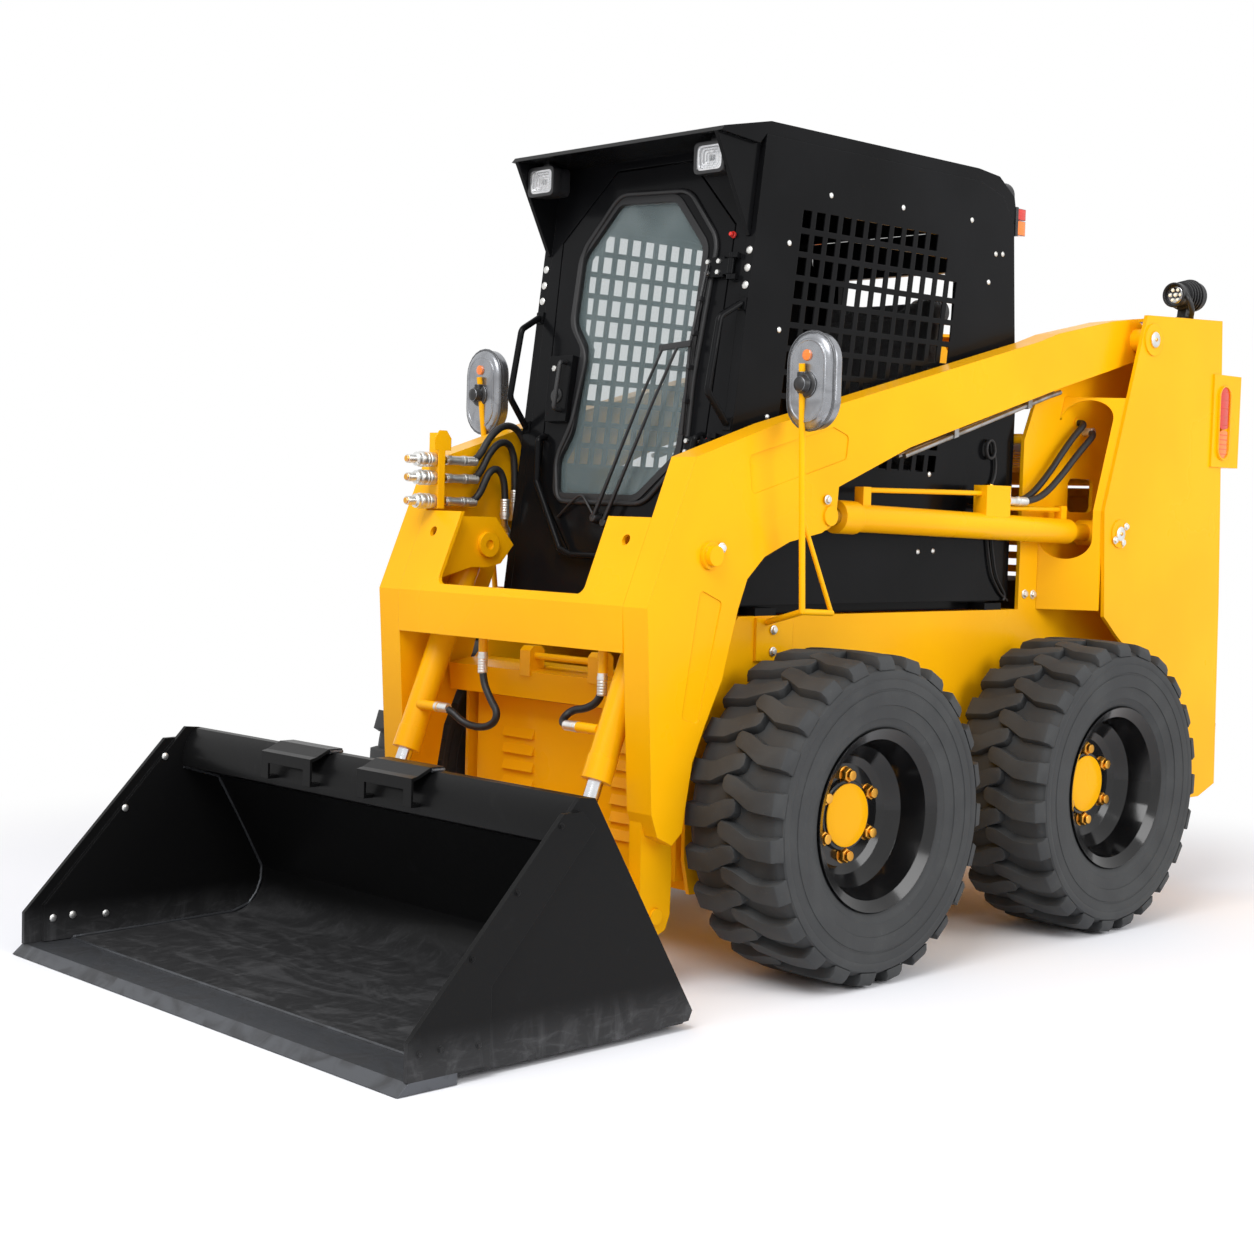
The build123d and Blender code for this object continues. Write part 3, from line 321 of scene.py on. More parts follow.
light = {
    "sky": (0.97, 0.98, 1.0), "skyPower": 0.72, "paper": 1.0, "aim": (0, 0, 0.8),
    "lamps": {"key": (330, (2.0, -5.0, 6.0), 4.0), "side": (190, (6.5, 1.5, 3.6), 3.5)},  # power, place, size
}
stageTone = {"floor": 0.92, "size": 60, "paper": 1.0, "whiteFrom": 2.0, "whiteAt": 3.3}


def makeLamp(name, power, place, size, aim):
    data = bpy.data.lights.new(name, "AREA")
    data.energy, data.size = power, size
    lamp = newPiece(name, data)
    lamp.location = place
    lamp.rotation_euler = (Vector(aim) - lamp.location).to_track_quat("-Z", "Y").to_euler()


def seenDirectly(tree):
    # 1 for rays that come from the camera, from gloss or through glass
    path = tree.nodes.new("ShaderNodeLightPath")
    total = path.outputs["Is Camera Ray"]
    for other in ("Is Glossy Ray", "Is Transmission Ray"):
        add = tree.nodes.new("ShaderNodeMath")
        add.operation = "MAXIMUM"
        tree.links.new(total, add.inputs[0])
        tree.links.new(path.outputs[other], add.inputs[1])
        total = add.outputs[0]
    return total


def makeLight(facts):
    world = bpy.data.worlds.new("sky")
    world.use_nodes = True
    tree = world.node_tree
    ambient, paper = tree.nodes["Background"], tree.nodes.new("ShaderNodeBackground")
    for shader, colour, strength in ((ambient, facts["sky"], facts["skyPower"]), (paper, (1, 1, 1), facts["paper"])):
        shader.inputs["Color"].default_value = (*colour, 1)
        shader.inputs["Strength"].default_value = strength
    mix = tree.nodes.new("ShaderNodeMixShader")
    tree.links.new(seenDirectly(tree), mix.inputs[0])
    tree.links.new(ambient.outputs[0], mix.inputs[1])
    tree.links.new(paper.outputs[0], mix.inputs[2])
    tree.links.new(mix.outputs[0], tree.nodes["World Output"].inputs["Surface"])
    scene.world = world
    for name, lamp in facts["lamps"].items():
        makeLamp(name, *lamp, facts["aim"])


def makeFloor(facts):
    half = facts["size"] / 2
    mesh = bpy.data.meshes.new("floor")
    mesh.from_pydata([(-half, -half, 0), (half, -half, 0), (half, half, 0), (-half, half, 0)], [], [(0, 1, 2, 3)])
    newPiece("floor", mesh)
    paper = Finish("floorPaper")
    shade = paper.set({"Base Color": grey(facts["floor"]), "Roughness": 0.9, "Specular IOR Level": 0.1})
    glow = paper.node("ShaderNodeEmission", None, {"Color": (1, 1, 1, 1), "Strength": facts["paper"]})
    far = paper.node("ShaderNodeVectorMath", {"operation": "LENGTH"}, {0: paper.place}, out=1)
    edge = paper.step(far, facts["whiteFrom"], facts["whiteAt"])
    ray = Value(paper, seenDirectly(paper.tree))
    shown = Value(paper, paper.shader.outputs[0])
    mixed = paper.node("ShaderNodeMixShader", None, {0: edge * ray, 1: shown, 2: glow})
    paper.tree.links.new(mixed.socket, paper.tree.nodes["Material Output"].inputs["Surface"])
    mesh.materials.append(shade)


makeLight(light)
makeFloor(stageTone)
print("stage lit")


# Shapes drawn in millimetres in the frame, gathered into one mesh in metres

toMetres = 0.001
drawnShift = 270  # the frame's y less the y measured from the middle of the wheelbase


ahead, offFace = (0, -1, 0), (0, -1, 0.13)  # straight to the front, and square to the cab's leaning face


def spot(x, y, z):
    return Vector((x, y + drawnShift, z))


def settle(piece, body):
    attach(piece, body)


def smoothed(mesh, angle):
    mesh.shade_smooth()
    mesh.set_sharp_from_angle(angle=math.radians(angle))
    return mesh


class Shape:
    def __init__(self):
        self.points, self.faces, self.kinds = [], [], []

    def add(self, points, faces, kind):
        first = len(self.points)
        self.points += [Vector(p) * toMetres for p in points]
        self.faces += [[first + i for i in face] for face in faces]
        self.kinds += [kind] * len(faces)

    def skin(self, rings, kind=0, wrap=False):
        # rings of as many points each, joined in a row, then capped or joined round
        count, rows = len(rings[0]), len(rings)
        faces = []
        for i in range(rows if wrap else rows - 1):
            here, there = i * count, (i + 1) % rows * count
            for k in range(count):
                m = (k + 1) % count
                faces.append([here + k, here + m, there + m, there + k])
        if not wrap:
            faces += [list(range(count))[::-1], [(rows - 1) * count + k for k in range(count)]]
        self.add([p for ring in rings for p in ring], faces, kind)

    def turned(self, outline, base=(0, 0, 0), towards=(0, 0, 1), sides=24, kind=0, wrap=False):
        # a solid of revolution: (along, radius) pairs from base; a radius of 0 closes it
        turn = Vector(towards).normalized().to_track_quat("Z", "Y")
        points, rings = [], []
        for along, radius in outline:
            count = sides if radius else 1
            rings.append(range(len(points), len(points) + count))
            for i in range(count):
                angle = 2 * math.pi * i / sides
                points.append(turn @ Vector((radius * math.cos(angle), radius * math.sin(angle), along)) +
                              Vector(base))
        faces = []
        for low, high in zip(rings, rings[1:] + (rings[:1] if wrap else [])):
            for i in range(sides):
                j = (i + 1) % sides
                corners = [low[i % len(low)], low[j % len(low)], high[j % len(high)], high[i % len(high)]]
                faces.append(list(dict.fromkeys(corners)))
        self.add(points, faces, kind)
        return self

    def tube(self, path, radius, sides=10, kind=0, closed=False):
        # a round tube along points, with one radius or one at each point
        count, side, rings = len(path), None, []
        for i, here in enumerate(path):
            before = path[i - 1] if closed or i else here
            after = path[(i + 1) % count] if closed or i < count - 1 else here
            run = (after - before).normalized()
            side = side or run.orthogonal()
            side = (side - run * side.dot(run)).normalized()
            other = run.cross(side)
            size = radius[i] if isinstance(radius, list) else radius
            angles = [2 * math.pi * k / sides for k in range(sides)]
            rings.append([here + (side * math.cos(a) + other * math.sin(a)) * size for a in angles])
        self.skin(rings, kind, closed)

    def slab(self, outline, place, low, high, kind=0):
        # a prism: place(u, v, height) gives its points
        self.skin([[place(u, v, h) for u, v in outline] for h in (low, high)], kind)

    def ring(self, outer, inner, place, low, high, kind=0):
        # a frame between two outlines with the same number of points
        edges = ((outer, low), (outer, high), (inner, high), (inner, low))
        self.skin([[place(u, v, h) for u, v in line] for line, h in edges], kind, True)

    def box(self, low, high, kind=0):
        (x, y, z), (u, v, w) = low, high
        self.slab([(x, y), (u, y), (u, v), (x, v)], lambda *p: p, z, w, kind)

    def mesh(self, name, finishList, edge=0, angle=35):
        data = bpy.data.meshes.new(name)
        data.from_pydata(self.points, [], self.faces)
        for finish in finishList:
            data.materials.append(finish)
        data.polygons.foreach_set("material_index", self.kinds)
        work = bmesh.new()
        work.from_mesh(data)
        bmesh.ops.recalc_face_normals(work, faces=work.faces)
        if edge:
            sharp = [e for e in work.edges if e.is_manifold and e.calc_face_angle(0) > math.radians(angle)]
            bmesh.ops.bevel(work, geom=sharp, offset=edge * toMetres, segments=2, profile=0.6, affect="EDGES",
                            clamp_overlap=True)
        work.to_mesh(data)
        work.free()
        return smoothed(data, angle)

    def make(self, name, finishList, body, slotName, edge=0, angle=35):
        settle(newPiece(name, self.mesh(name, finishList, edge, angle)), body)


# Oil hoses: the tube's own points, in the frame, in metres

hoseRoutes = {
    "lift_hose_upper": [
        (0.464, 0.670, 1.221), (0.464, 0.718, 1.221), (0.464, 0.782, 1.247), (0.464, 0.860, 1.310),
        (0.464, 0.922, 1.370), (0.464, 0.972, 1.415), (0.464, 1.005, 1.440), (0.463, 1.024, 1.452),
        (0.458, 1.035, 1.459), (0.449, 1.041, 1.463), (0.436, 1.041, 1.463),
    ],
    "lift_hose_lower": [
        (0.492, 0.670, 1.221), (0.492, 0.724, 1.221), (0.492, 0.798, 1.243), (0.492, 0.882, 1.302),
        (0.492, 0.950, 1.359), (0.491, 1.005, 1.399), (0.487, 1.040, 1.420), (0.476, 1.062, 1.432),
        (0.458, 1.071, 1.437), (0.436, 1.071, 1.437),
    ],
    "left_tilt_hose": [
        (0.305, -0.780, 0.745), (0.305, -0.780, 0.717), (0.290, -0.783, 0.690), (0.258, -0.790, 0.673),
        (0.222, -0.792, 0.668), (0.207, -0.803, 0.657), (0.207, -0.819, 0.643), (0.222, -0.830, 0.632),
        (0.265, -0.830, 0.632),
    ],
    "right_tilt_hose": [
        (-0.152, -0.780, 0.765), (-0.152, -0.780, 0.713), (-0.114, -0.783, 0.663), (-0.080, -0.786, 0.634),
        (-0.088, -0.790, 0.603), (-0.130, -0.796, 0.587), (-0.186, -0.812, 0.594), (-0.226, -0.830, 0.632),
        (-0.265, -0.830, 0.632),
    ],
    "upper_coupler_hose": [
        (-0.410, -0.641, 1.287), (-0.410, -0.614, 1.287), (-0.410, -0.587, 1.309), (-0.410, -0.563, 1.349),
        (-0.410, -0.523, 1.384), (-0.414, -0.481, 1.393), (-0.419, -0.443, 1.378), (-0.420, -0.417, 1.341),
        (-0.419, -0.405, 1.278), (-0.419, -0.402, 1.205), (-0.419, -0.402, 1.160),
    ],
    "middle_coupler_hose": [
        (-0.410, -0.636, 1.238), (-0.410, -0.610, 1.238), (-0.410, -0.584, 1.264), (-0.410, -0.560, 1.308),
        (-0.410, -0.526, 1.341), (-0.411, -0.492, 1.345), (-0.416, -0.465, 1.318), (-0.418, -0.457, 1.270),
        (-0.418, -0.455, 1.215), (-0.418, -0.455, 1.176),
    ],
    "lower_coupler_hose": [
        (-0.410, -0.641, 1.175), (-0.410, -0.616, 1.175), (-0.405, -0.594, 1.197), (-0.398, -0.581, 1.232),
        (-0.398, -0.568, 1.257), (-0.398, -0.545, 1.271), (-0.398, -0.523, 1.260), (-0.399, -0.510, 1.232),
        (-0.400, -0.505, 1.190), (-0.400, -0.505, 1.150),
    ],
}
hoseFacts = {"thick": 0.020, "stiffness": "stiff", "tiltEnd": (-0.830, 0.640)}


def plainMesh(piece):
    # the evaluated object's own mesh, as new_from_object gives it
    bpy.context.view_layer.update()
    seen = piece.evaluated_get(bpy.context.evaluated_depsgraph_get())
    return bpy.data.meshes.new_from_object(seen)


def hoseLine(name, points):
    data = bpy.data.curves.new(name, "CURVE")
    data.dimensions = "3D"
    line = data.splines.new("NURBS")
    line.points.add(len(points) - 1)
    for point, place in zip(line.points, points):
        point.co = (*place, 1)
    line.order_u = 3
    line.use_endpoint_u = True
    line.resolution_u = 10
    return newPiece(name, data)


def makeHose(node, points, body, crossing=None):
    curve = hoseLine(node + "Line", points)
    path = [tuple(v.co) for v in plainMesh(curve).vertices]
    curve.data.bevel_depth = hoseFacts["thick"] / 2
    curve.data.bevel_resolution = 4
    curve.data.use_fill_caps = True
    mesh = smoothed(plainMesh(curve), 40)
    bpy.data.objects.remove(curve)
    mesh.materials.clear()
    mesh.materials.append(finishes["hose_rubber"])
    hose = newPiece(node + "_tube", mesh)
    if crossing:
        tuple(crossing[1])
        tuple(crossing[2])
        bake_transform(hose)
    else:
        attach(hose, body)
    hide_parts(node)
    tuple(path[0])


hoseEnds = []
for side, hand in (("left", 1), ("right", -1)):
    for kind in ("lift_hose_upper", "lift_hose_lower"):
        line, barrel = [(hand * x, y, z) for x, y, z in hoseRoutes[kind]], f"{side}_lift_barrel"
        makeHose(f"{side}_{kind}", line, barrel, ("root", line[1], line[-2]))
        hoseEnds += [(barrel, line[0], line[1]), ("root", line[-1], line[-2])]
for node in ("left_tilt_hose", "right_tilt_hose", "upper_coupler_hose", "middle_coupler_hose", "lower_coupler_hose"):
    line, far, crossing = hoseRoutes[node], "lift_arms", None
    if "tilt" in node:
        far = node.replace("hose", "barrel")
        crossing = (far, line[1], (line[0][0], *hoseFacts["tiltEnd"]))
    makeHose(node, line, "lift_arms", crossing)
    hoseEnds += [("lift_arms", line[0], line[1]), (far, line[-1], line[-2])]
print("hoses laid:", len(hoseEnds) // 2)


# Finishes of the solid pieces, with second colours picked out by place, in metres

yellowPaint, trimBlack, chrome = finishes["yellow_paint"], finishes["lamp"], finishes["chrome_rod"]
pickedOut = [
    ("left_lift_rod", chrome, yellowPaint, lambda x, y, z: y < -0.155),
    ("left_tilt_rod", chrome, yellowPaint, lambda x, y, z: z < 0.405),
    ("left_lift_barrel", yellowPaint, zinc, lambda x, y, z: 0.617 < y < 0.672 and z > 1.2085),
    ("coupler_bracket", yellowPaint, zinc, lambda x, y, z: -0.4335 < x < -0.3895 and not -0.760 <= y <= -0.740),
    ("mirrors", yellowPaint, greyShell, lambda x, y, z: z > 1.36 and y > -0.4018),
    ("tail_lamps", yellowPaint, trimBlack,
     lambda x, y, z: 1.36 < z <= 1.63 and 1.6415 < y < 1.7105 and 0.5065 < abs(x) < 0.5805),
]
mirrorBall = {"middle": Vector((0.620, -0.417, 1.494)), "radius": 0.0236}


def dress(node, *finishList):
    mesh = nodes[node].data
    mesh.materials.clear()
    for finish in finishList:
        mesh.materials.append(finish)


def pick(node, kind, test):
    for face in nodes[node].data.polygons:
        if test(*face.center):
            face.material_index = kind


for part in frame["record"]["subparts"]:
    dress(part["node"], finishes[part["material_slot"]])
for left, plain, second, test in pickedOut:
    for node in sorted({left, left.replace("left", "right")}):
        dress(node, plain, second)
        pick(node, 1, test)
nodes["mirrors"].data.materials.append(trimBlack)
pick("mirrors", 2, lambda x, y, z: (Vector((abs(x), y, z)) - mirrorBall["middle"]).length < mirrorBall["radius"])
print("solid pieces dressed:", len(nodes))


# One tree sets copies of a small piece on points, each with its own turn and size

def copyTree():
    tree = bpy.data.node_groups.new("copies", "GeometryNodeTree")
    for name, way, kind in (("Geometry", "INPUT", "Geometry"), ("Size", "INPUT", "Float"),
                            ("Piece", "INPUT", "Object"), ("Finish", "INPUT", "Material"),
                            ("Geometry", "OUTPUT", "Geometry")):
        tree.interface.new_socket(name, in_out=way, socket_type="NodeSocket" + kind)
    made = {name: tree.nodes.new(kind) for name, kind in (
        ("given", "NodeGroupInput"), ("result", "NodeGroupOutput"), ("info", "GeometryNodeObjectInfo"),
        ("turn", "GeometryNodeInputNamedAttribute"), ("grow", "GeometryNodeInputNamedAttribute"),
        ("times", "ShaderNodeMath"), ("copies", "GeometryNodeInstanceOnPoints"),
        ("real", "GeometryNodeRealizeInstances"), ("coat", "GeometryNodeSetMaterial"))}
    for name, kind in (("turn", "QUATERNION"), ("grow", "FLOAT")):
        made[name].data_type = kind
        made[name].inputs["Name"].default_value = name
    made["times"].operation = "MULTIPLY"
    for start, out, end, into in (
            ("given", "Piece", "info", "Object"), ("given", "Geometry", "copies", "Points"),
            ("info", "Geometry", "copies", "Instance"), ("turn", "Attribute", "copies", "Rotation"),
            ("grow", "Attribute", "times", 0), ("given", "Size", "times", 1), ("times", 0, "copies", "Scale"),
            ("copies", "Instances", "real", "Geometry"), ("real", "Geometry", "coat", "Geometry"),
            ("given", "Finish", "coat", "Material"), ("coat", "Geometry", "result", "Geometry")):
        tree.links.new(made[start].outputs[out], made[end].inputs[into])
    return tree


copying = copyTree()
socketOf = {item.name: item.identifier for item in copying.interface.items_tree if item.in_out == "INPUT"}


def setCopies(name, sample, places, finish, body, size=1.0):
    # places: (point, turn, size) of every copy; the result is one plain mesh on its body
    base = bpy.data.meshes.new(name)
    base.from_pydata([Vector(p) * toMetres for p, _, _ in places], [], [])
    turn = base.attributes.new("turn", "QUATERNION", "POINT")
    turn.data.foreach_set("value", [number for _, quaternion, _ in places for number in quaternion])
    grow = base.attributes.new("grow", "FLOAT", "POINT")
    grow.data.foreach_set("value", [scale for _, _, scale in places])
    template, holder = newPiece(name + "Sample", sample), newPiece(name, base)
    modifier = holder.modifiers.new("copies", "NODES")
    modifier.node_group = copying
    for socket, value in (("Size", size), ("Piece", template), ("Finish", finish)):
        modifier[socketOf[socket]] = value
    mesh = plainMesh(holder)
    holder.modifiers.clear()
    holder.data = mesh
    mesh.name = name
    bpy.data.objects.remove(template)
    settle(holder, body)
    return holder


def facing(towards, spin=0.0):
    return Vector(towards).to_track_quat("Z", "Y") @ Quaternion((0, 0, 1), spin)


# Tyres: a ringed carcass with two rows of Z-shaped lugs

tyreFacts = {
    "radius": 415.5, "lugs": 23, "sides": 144,
    "carcass": [
        (113.5, 209.6), (126.8, 230.5), (131, 233), (134.5, 240), (138, 254), (140, 256), (142, 268), (144.8, 286),
        (145.2, 288), (147.8, 289), (149.8, 306), (150.8, 323), (149.2, 324), (149.4, 329), (151.2, 330), (152, 348),
        (151.6, 353), (153, 355), (153.5, 364), (152.8, 372.5), (149, 376.5), (144, 377.5), (138, 383), (125, 388),
        (90, 390.5), (45, 391.5), (0, 391.8),
    ],
    # stations along a lug: across the tread, along it, half width, radius
    "lug": [
        (-26, 25, 10, 414.5), (-17, 24.5, 20.5, 415.5), (14, 16, 23.5, 415.5), (40, 4, 24.5, 415.5),
        (66, -9, 25, 415.3), (94, -11.5, 25, 414.8), (124, -11, 26.5, 413), (140.5, -10.5, 28, 410),
        (150, -10.5, 28.5, 396), (152.8, -10.5, 27, 380),
    ],
    # a lug's foot: how far it spreads, its radius, and its fall beyond the shoulder
    "spread": 6, "foot": 389, "shoulder": 120, "fall": 12.5 / 33.5,
}


def lugMesh(facts, hand):
    # one lug at the top of a wheel whose middle is the origin
    shape, rings = Shape(), []
    for x, along, half, radius in facts["lug"]:
        foot = facts["foot"] - facts["fall"] * max(abs(x) - facts["shoulder"], 0)
        wide = half + facts["spread"]
        corners = [((along + offset) / facts["radius"], r)
                   for offset, r in ((-wide, foot), (-half, radius), (half, radius), (wide, foot))]
        rings.append([(hand * x, r * math.sin(angle), r * math.cos(angle)) for angle, r in corners])
    shape.skin(rings)
    return shape.mesh("lug", [finishes["tyre_rubber"]], 2.2, 30)


def wheelMiddle(end, side):
    low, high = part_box(f"{end}_{side}_tyre")
    return (low + high) / 2 / toMetres


def makeTyre(end, side, facts):
    name, body, middle = f"{end}_{side}_tyre", f"{end}_{side}_wheel", wheelMiddle(end, side)
    outline = facts["carcass"] + [(-x, r) for x, r in facts["carcass"][-2::-1]]
    carcass = Shape().turned(outline, middle, (1, 0, 0), facts["sides"], 0, True)
    work = bmesh.new()
    work.from_mesh(carcass.mesh(name + "Carcass", [finishes["tyre_rubber"]], 0, 50))
    for hand in (1, -1):
        angles = [2 * math.pi * (i + (0.5 if hand < 0 else 0)) / facts["lugs"] for i in range(facts["lugs"])]
        places = [(middle, Quaternion((1, 0, 0), -angle), 1.0) for angle in angles]
        row = setCopies(f"{name}Row{hand}", lugMesh(facts, hand), places, finishes["tyre_rubber"], body)
        work.from_mesh(row.data)
        bpy.data.objects.remove(row)
    mesh = bpy.data.meshes.new(name + "_treaded")
    work.to_mesh(mesh)
    work.free()
    mesh.materials.append(finishes["tyre_rubber"])
    tyre = newPiece(name + "_treaded", smoothed(mesh, 32))
    settle(tyre, body)
    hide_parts(name)


# Wheel nuts and the painted hub cap

hubFacts = {"nuts": 6, "circle": 102, "face": 653.5, "cap": 667, "capRadius": 80.5}


def sampleOf(name, finish, edge, *turns):
    # a small turned piece that stands on the origin: each turn is its outline and its sides
    shape = Shape()
    for outline, sides in turns:
        shape.turned(outline, sides=sides)
    return shape.mesh(name, [finish], edge, 40 if edge else 35)


def nutSample():
    return sampleOf("nut", brass, 0.6, ([(0, 0), (0, 21.5), (2.5, 21.5), (2.5, 0)], 24),
                    ([(2, 0), (2, 19.5), (17, 19.5), (19.5, 17.2), (19.5, 0)], 6),
                    ([(18, 0), (18, 13.4), (28.5, 13.4), (30, 12), (30, 0)], 20))


def makeHub(end, side, facts):
    body, middle = f"{end}_{side}_wheel", wheelMiddle(end, side)
    hand = 1 if side == "left" else -1
    places = []
    for i in range(facts["nuts"]):
        angle = math.pi * (2 * i + 1) / facts["nuts"]
        point = (hand * facts["face"], middle.y + facts["circle"] * math.cos(angle),
                 middle.z + facts["circle"] * math.sin(angle))
        places.append((point, facing((hand, 0, 0), angle), 1.0))
    setCopies(f"{end}_{side}_wheel_nuts", nutSample(), places, brass, body)
    cap, r = Shape(), facts["capRadius"]
    base = (hand * facts["cap"], middle.y, middle.z)
    cap.turned([(-4, 0), (-4, r), (2, r), (3.5, r - 3), (4.2, r * 0.6), (4.8, r * 0.25), (5, 0)], base, (hand, 0, 0),
               64)
    cap.turned([(-10.5, 0), (-10.5, r + 10), (-3.5, r + 10), (-2, r + 8), (-2, 0)], base, (hand, 0, 0), 64, 1)
    cap.make(f"{end}_{side}_hub_cap", [yellowPaint, finishes["rim_paint"]], body, "yellow_paint")


for end in ("front", "rear"):
    for side in ("left", "right"):
        makeTyre(end, side, tyreFacts)
        makeHub(end, side, hubFacts)
print("tyres and hubs made")


# Bolts: x, y, z from the wheelbase's middle, and size

boltRows = {
    "root": [(440.5, -578, 869, 1), (440.5, -579, 813, 1), (430, 535, 950, 1.1), (430, 577, 948, 1.1),
             (580, 808, 1108, 1.2), (586, 819, 1156, 0.9), (586, 763, 1115, 0.9)],
    "lift_arms": [(529, -875, 1080, 1.1), (526, -483, 1206, 1)],
    "bucket": [(795, y, z, 0.6) for y, z in (
        (-1620, 503), (-1737, 375), (-1854, 253), (-1985, 80), (-1932, 82), (-1832, 74))],
}
domeRows = {
    "cab": [(400, y, z, 1) for y, z in (
        (-361, 2003), (-59, 2008), (252, 2011), (-520, 1862), (341, 1845), (-549, 1638), (-584, 1413), (371, 1928),
        (404, 1931), (98, 1288), (59, 1071), (127, 1074))],
    "hinge": [(386, -654.6685, 1831, 1.4), (386, -660.586, 1786, 1.4), (386, -666.372, 1742, 1.4)],
    "bucket": [(-770, y, z, 1.3) for y, z in (
        (-1940, 86), (-1885, 88), (-1790, 80), (-1620, 480), (-1737, 352))],
}


def bothSides(rows, towards=(1, 0, 0), spin=0.0):
    # a copy at each row and at its mirror, each turned a little more than the last
    both = [(hand, row) for hand in (1, -1) for row in rows]
    return [(spot(hand * x, y, z), facing((hand * towards[0], *towards[1:]), i * spin), size)
            for i, (hand, (x, y, z, size)) in enumerate(both)]


def boltSample():
    return sampleOf("bolt", zinc, 0.4, ([(-1, 0), (-1, 12.5), (1.8, 12.5), (2.2, 11.8), (2.2, 0)], 20),
                    ([(2, 0), (2, 9.2), (6.8, 9.2), (8, 7.8), (8, 0)], 6))


def domeSample():
    return sampleOf("dome", zinc, 0, ([(-1, 0), (-1, 7.5), (0.8, 7.5), (2.4, 6), (3.3, 3.5), (3.6, 0)], 16))


for body, rows in boltRows.items():
    slotName = "bucket_paint" if body == "bucket" else "worn_steel"
    setCopies(f"{body}_bolts", boltSample(), bothSides(rows, spin=0.7),
              finishes["bucket_paint"] if body == "bucket" else zinc, body)
setCopies("cab_bolts", domeSample(), bothSides(domeRows["cab"]) + bothSides(domeRows["hinge"], offFace), zinc,
          "root")
setCopies("bucket_inner_bolts", domeSample(), bothSides(domeRows["bucket"]), zinc, "bucket")


# Weld beads of the bucket, and the polished ends of the arms' pins

weldFacts = {
    "size": 4.2, "ripple": 1.1, "pitch": 7,
    "inside": 769.5, "line": [(-1884, 30), (-1640, 33.5), (-1403, 39), (-1352, 55), (-1327, 84), (-1313, 120),
                              (-1311, 158), (-1380, 288), (-1455, 417), (-1563, 450)],
    "edge": (768, -1886, 26.5), "steps": (-250, 150), "stepHalf": 105, "stepRun": (-1500, -1538), "stepTop": 553,
}
pinEnds = [(587.5, 933, 1719, 23.5), (585.5, 791, 1134, 21.5)]


def bead(shape, path, facts):
    # a rippled bead: short steps along the path, thick and thin by turns
    fine = []
    for first, last in zip(path, path[1:]):
        steps = max(int((last - first).length / facts["pitch"]), 1)
        fine += [first.lerp(last, i / steps) for i in range(steps)]
    fine.append(path[-1])
    shape.tube(fine, [facts["size"] + facts["ripple"] * (i % 2) for i in range(len(fine))], 6)


def makeWelds(facts):
    shape = Shape()
    for hand in (1, -1):
        bead(shape, [spot(hand * facts["inside"], y, z) for y, z in facts["line"]], facts)
        for x in facts["steps"]:
            bead(shape, [spot(x + hand * facts["stepHalf"], y, facts["stepTop"]) for y in facts["stepRun"]], facts)
    x, y, z = facts["edge"]
    bead(shape, [spot(-x, y, z), spot(x, y, z)], facts)
    shape.make("bucket_welds", [finishes["worn_steel"]], "bucket", "worn_steel", 0, 60)


def makePinEnds():
    shape = Shape()
    for hand in (1, -1):
        for x, y, z, r in pinEnds:
            end = spot(hand * x, y, z)
            shape.turned([(0, 0), (0, r), (2.5, r), (3.8, r - 2), (3.8, 0)], end, (hand, 0, 0), 36)
            shape.turned([(3, 0), (3, 6.5), (6.5, 5.5), (6.5, 0)], end, (hand, 0, 0), 12, 1)
    shape.make("pin_ends", [zinc, brass], "root", "worn_steel", 0.4)


makeWelds(weldFacts)
makePinEnds()
print("bolts set")


# Crimped ends of the hoses, each standing on the hose's end and reaching along it

def crimpSample():
    outline = [(-20, 0), (-20, 12.5), (-12, 12.5), (-12, 14), (-2, 14), (-2, 11.8)]
    for along in range(0, 35, 7):
        outline += [(along, 12.2), (along + 1.5, 13.1), (along + 5, 13.1), (along + 6.5, 12.2)]
    return sampleOf("crimp", zinc, 0, (outline + [(35.5, 12.2), (36.2, 11.2), (36.2, 0)], 20))


for body in sorted({body for body, _, _ in hoseEnds}):
    runs = [(Vector(start), Vector(near) - Vector(start)) for owner, start, near in hoseEnds if owner == body]
    places = [(start / toMetres, facing(run), 1.0) for start, run in runs if run.length > hoseFacts["thick"]]
    if places:
        setCopies(f"{body}_hose_ends", crimpSample(), places, zinc, body)
print("hose ends crimped")


# The cab's front face, which leans back

faceLine = {"lowY": -760, "lowZ": 1030, "highY": -616, "highZ": 2125}
faceSlope = (faceLine["highY"] - faceLine["lowY"]) / (faceLine["highZ"] - faceLine["lowZ"])
faceLean = math.atan(faceSlope)


def onFace(x, z, proud):
    y = faceLine["lowY"] + (z - faceLine["lowZ"]) * faceSlope
    return spot(x, y - proud * math.cos(faceLean), z + proud * math.sin(faceLean))


def rounded(points, radius, steps=5, close=True, most=0.45):
    # the same line with its corners rounded, each over no more than that share of its edges
    points = [Vector(p) for p in points]
    out = []
    for i, here in enumerate(points):
        if not close and i in (0, len(points) - 1):
            out.append(here)
            continue
        first, last = points[i - 1] - here, points[(i + 1) % len(points)] - here
        cut = min(radius, first.length * most, last.length * most)
        start, end = here + first.normalized() * cut, here + last.normalized() * cut
        for k in range(steps + 1):
            t = k / steps
            out.append(start * (1 - t) ** 2 + here * 2 * t * (1 - t) + end * t * t)
    return out


def grown(outline, amount):
    # a closed outline of 2D vectors moved outwards from its middle
    middle = sum(outline, Vector((0, 0))) / len(outline)
    out = []
    for i, here in enumerate(outline):
        runs = [(here - outline[i - 1]).normalized(), (outline[(i + 1) % len(outline)] - here).normalized()]
        normals = [Vector((run.y, -run.x)) for run in runs]
        normals = [n if n.dot(here - middle) > 0 else -n for n in normals]
        both = (normals[0] + normals[1]).normalized()
        out.append(here + both * amount / max(both.dot(normals[0]), 0.4))
    return out


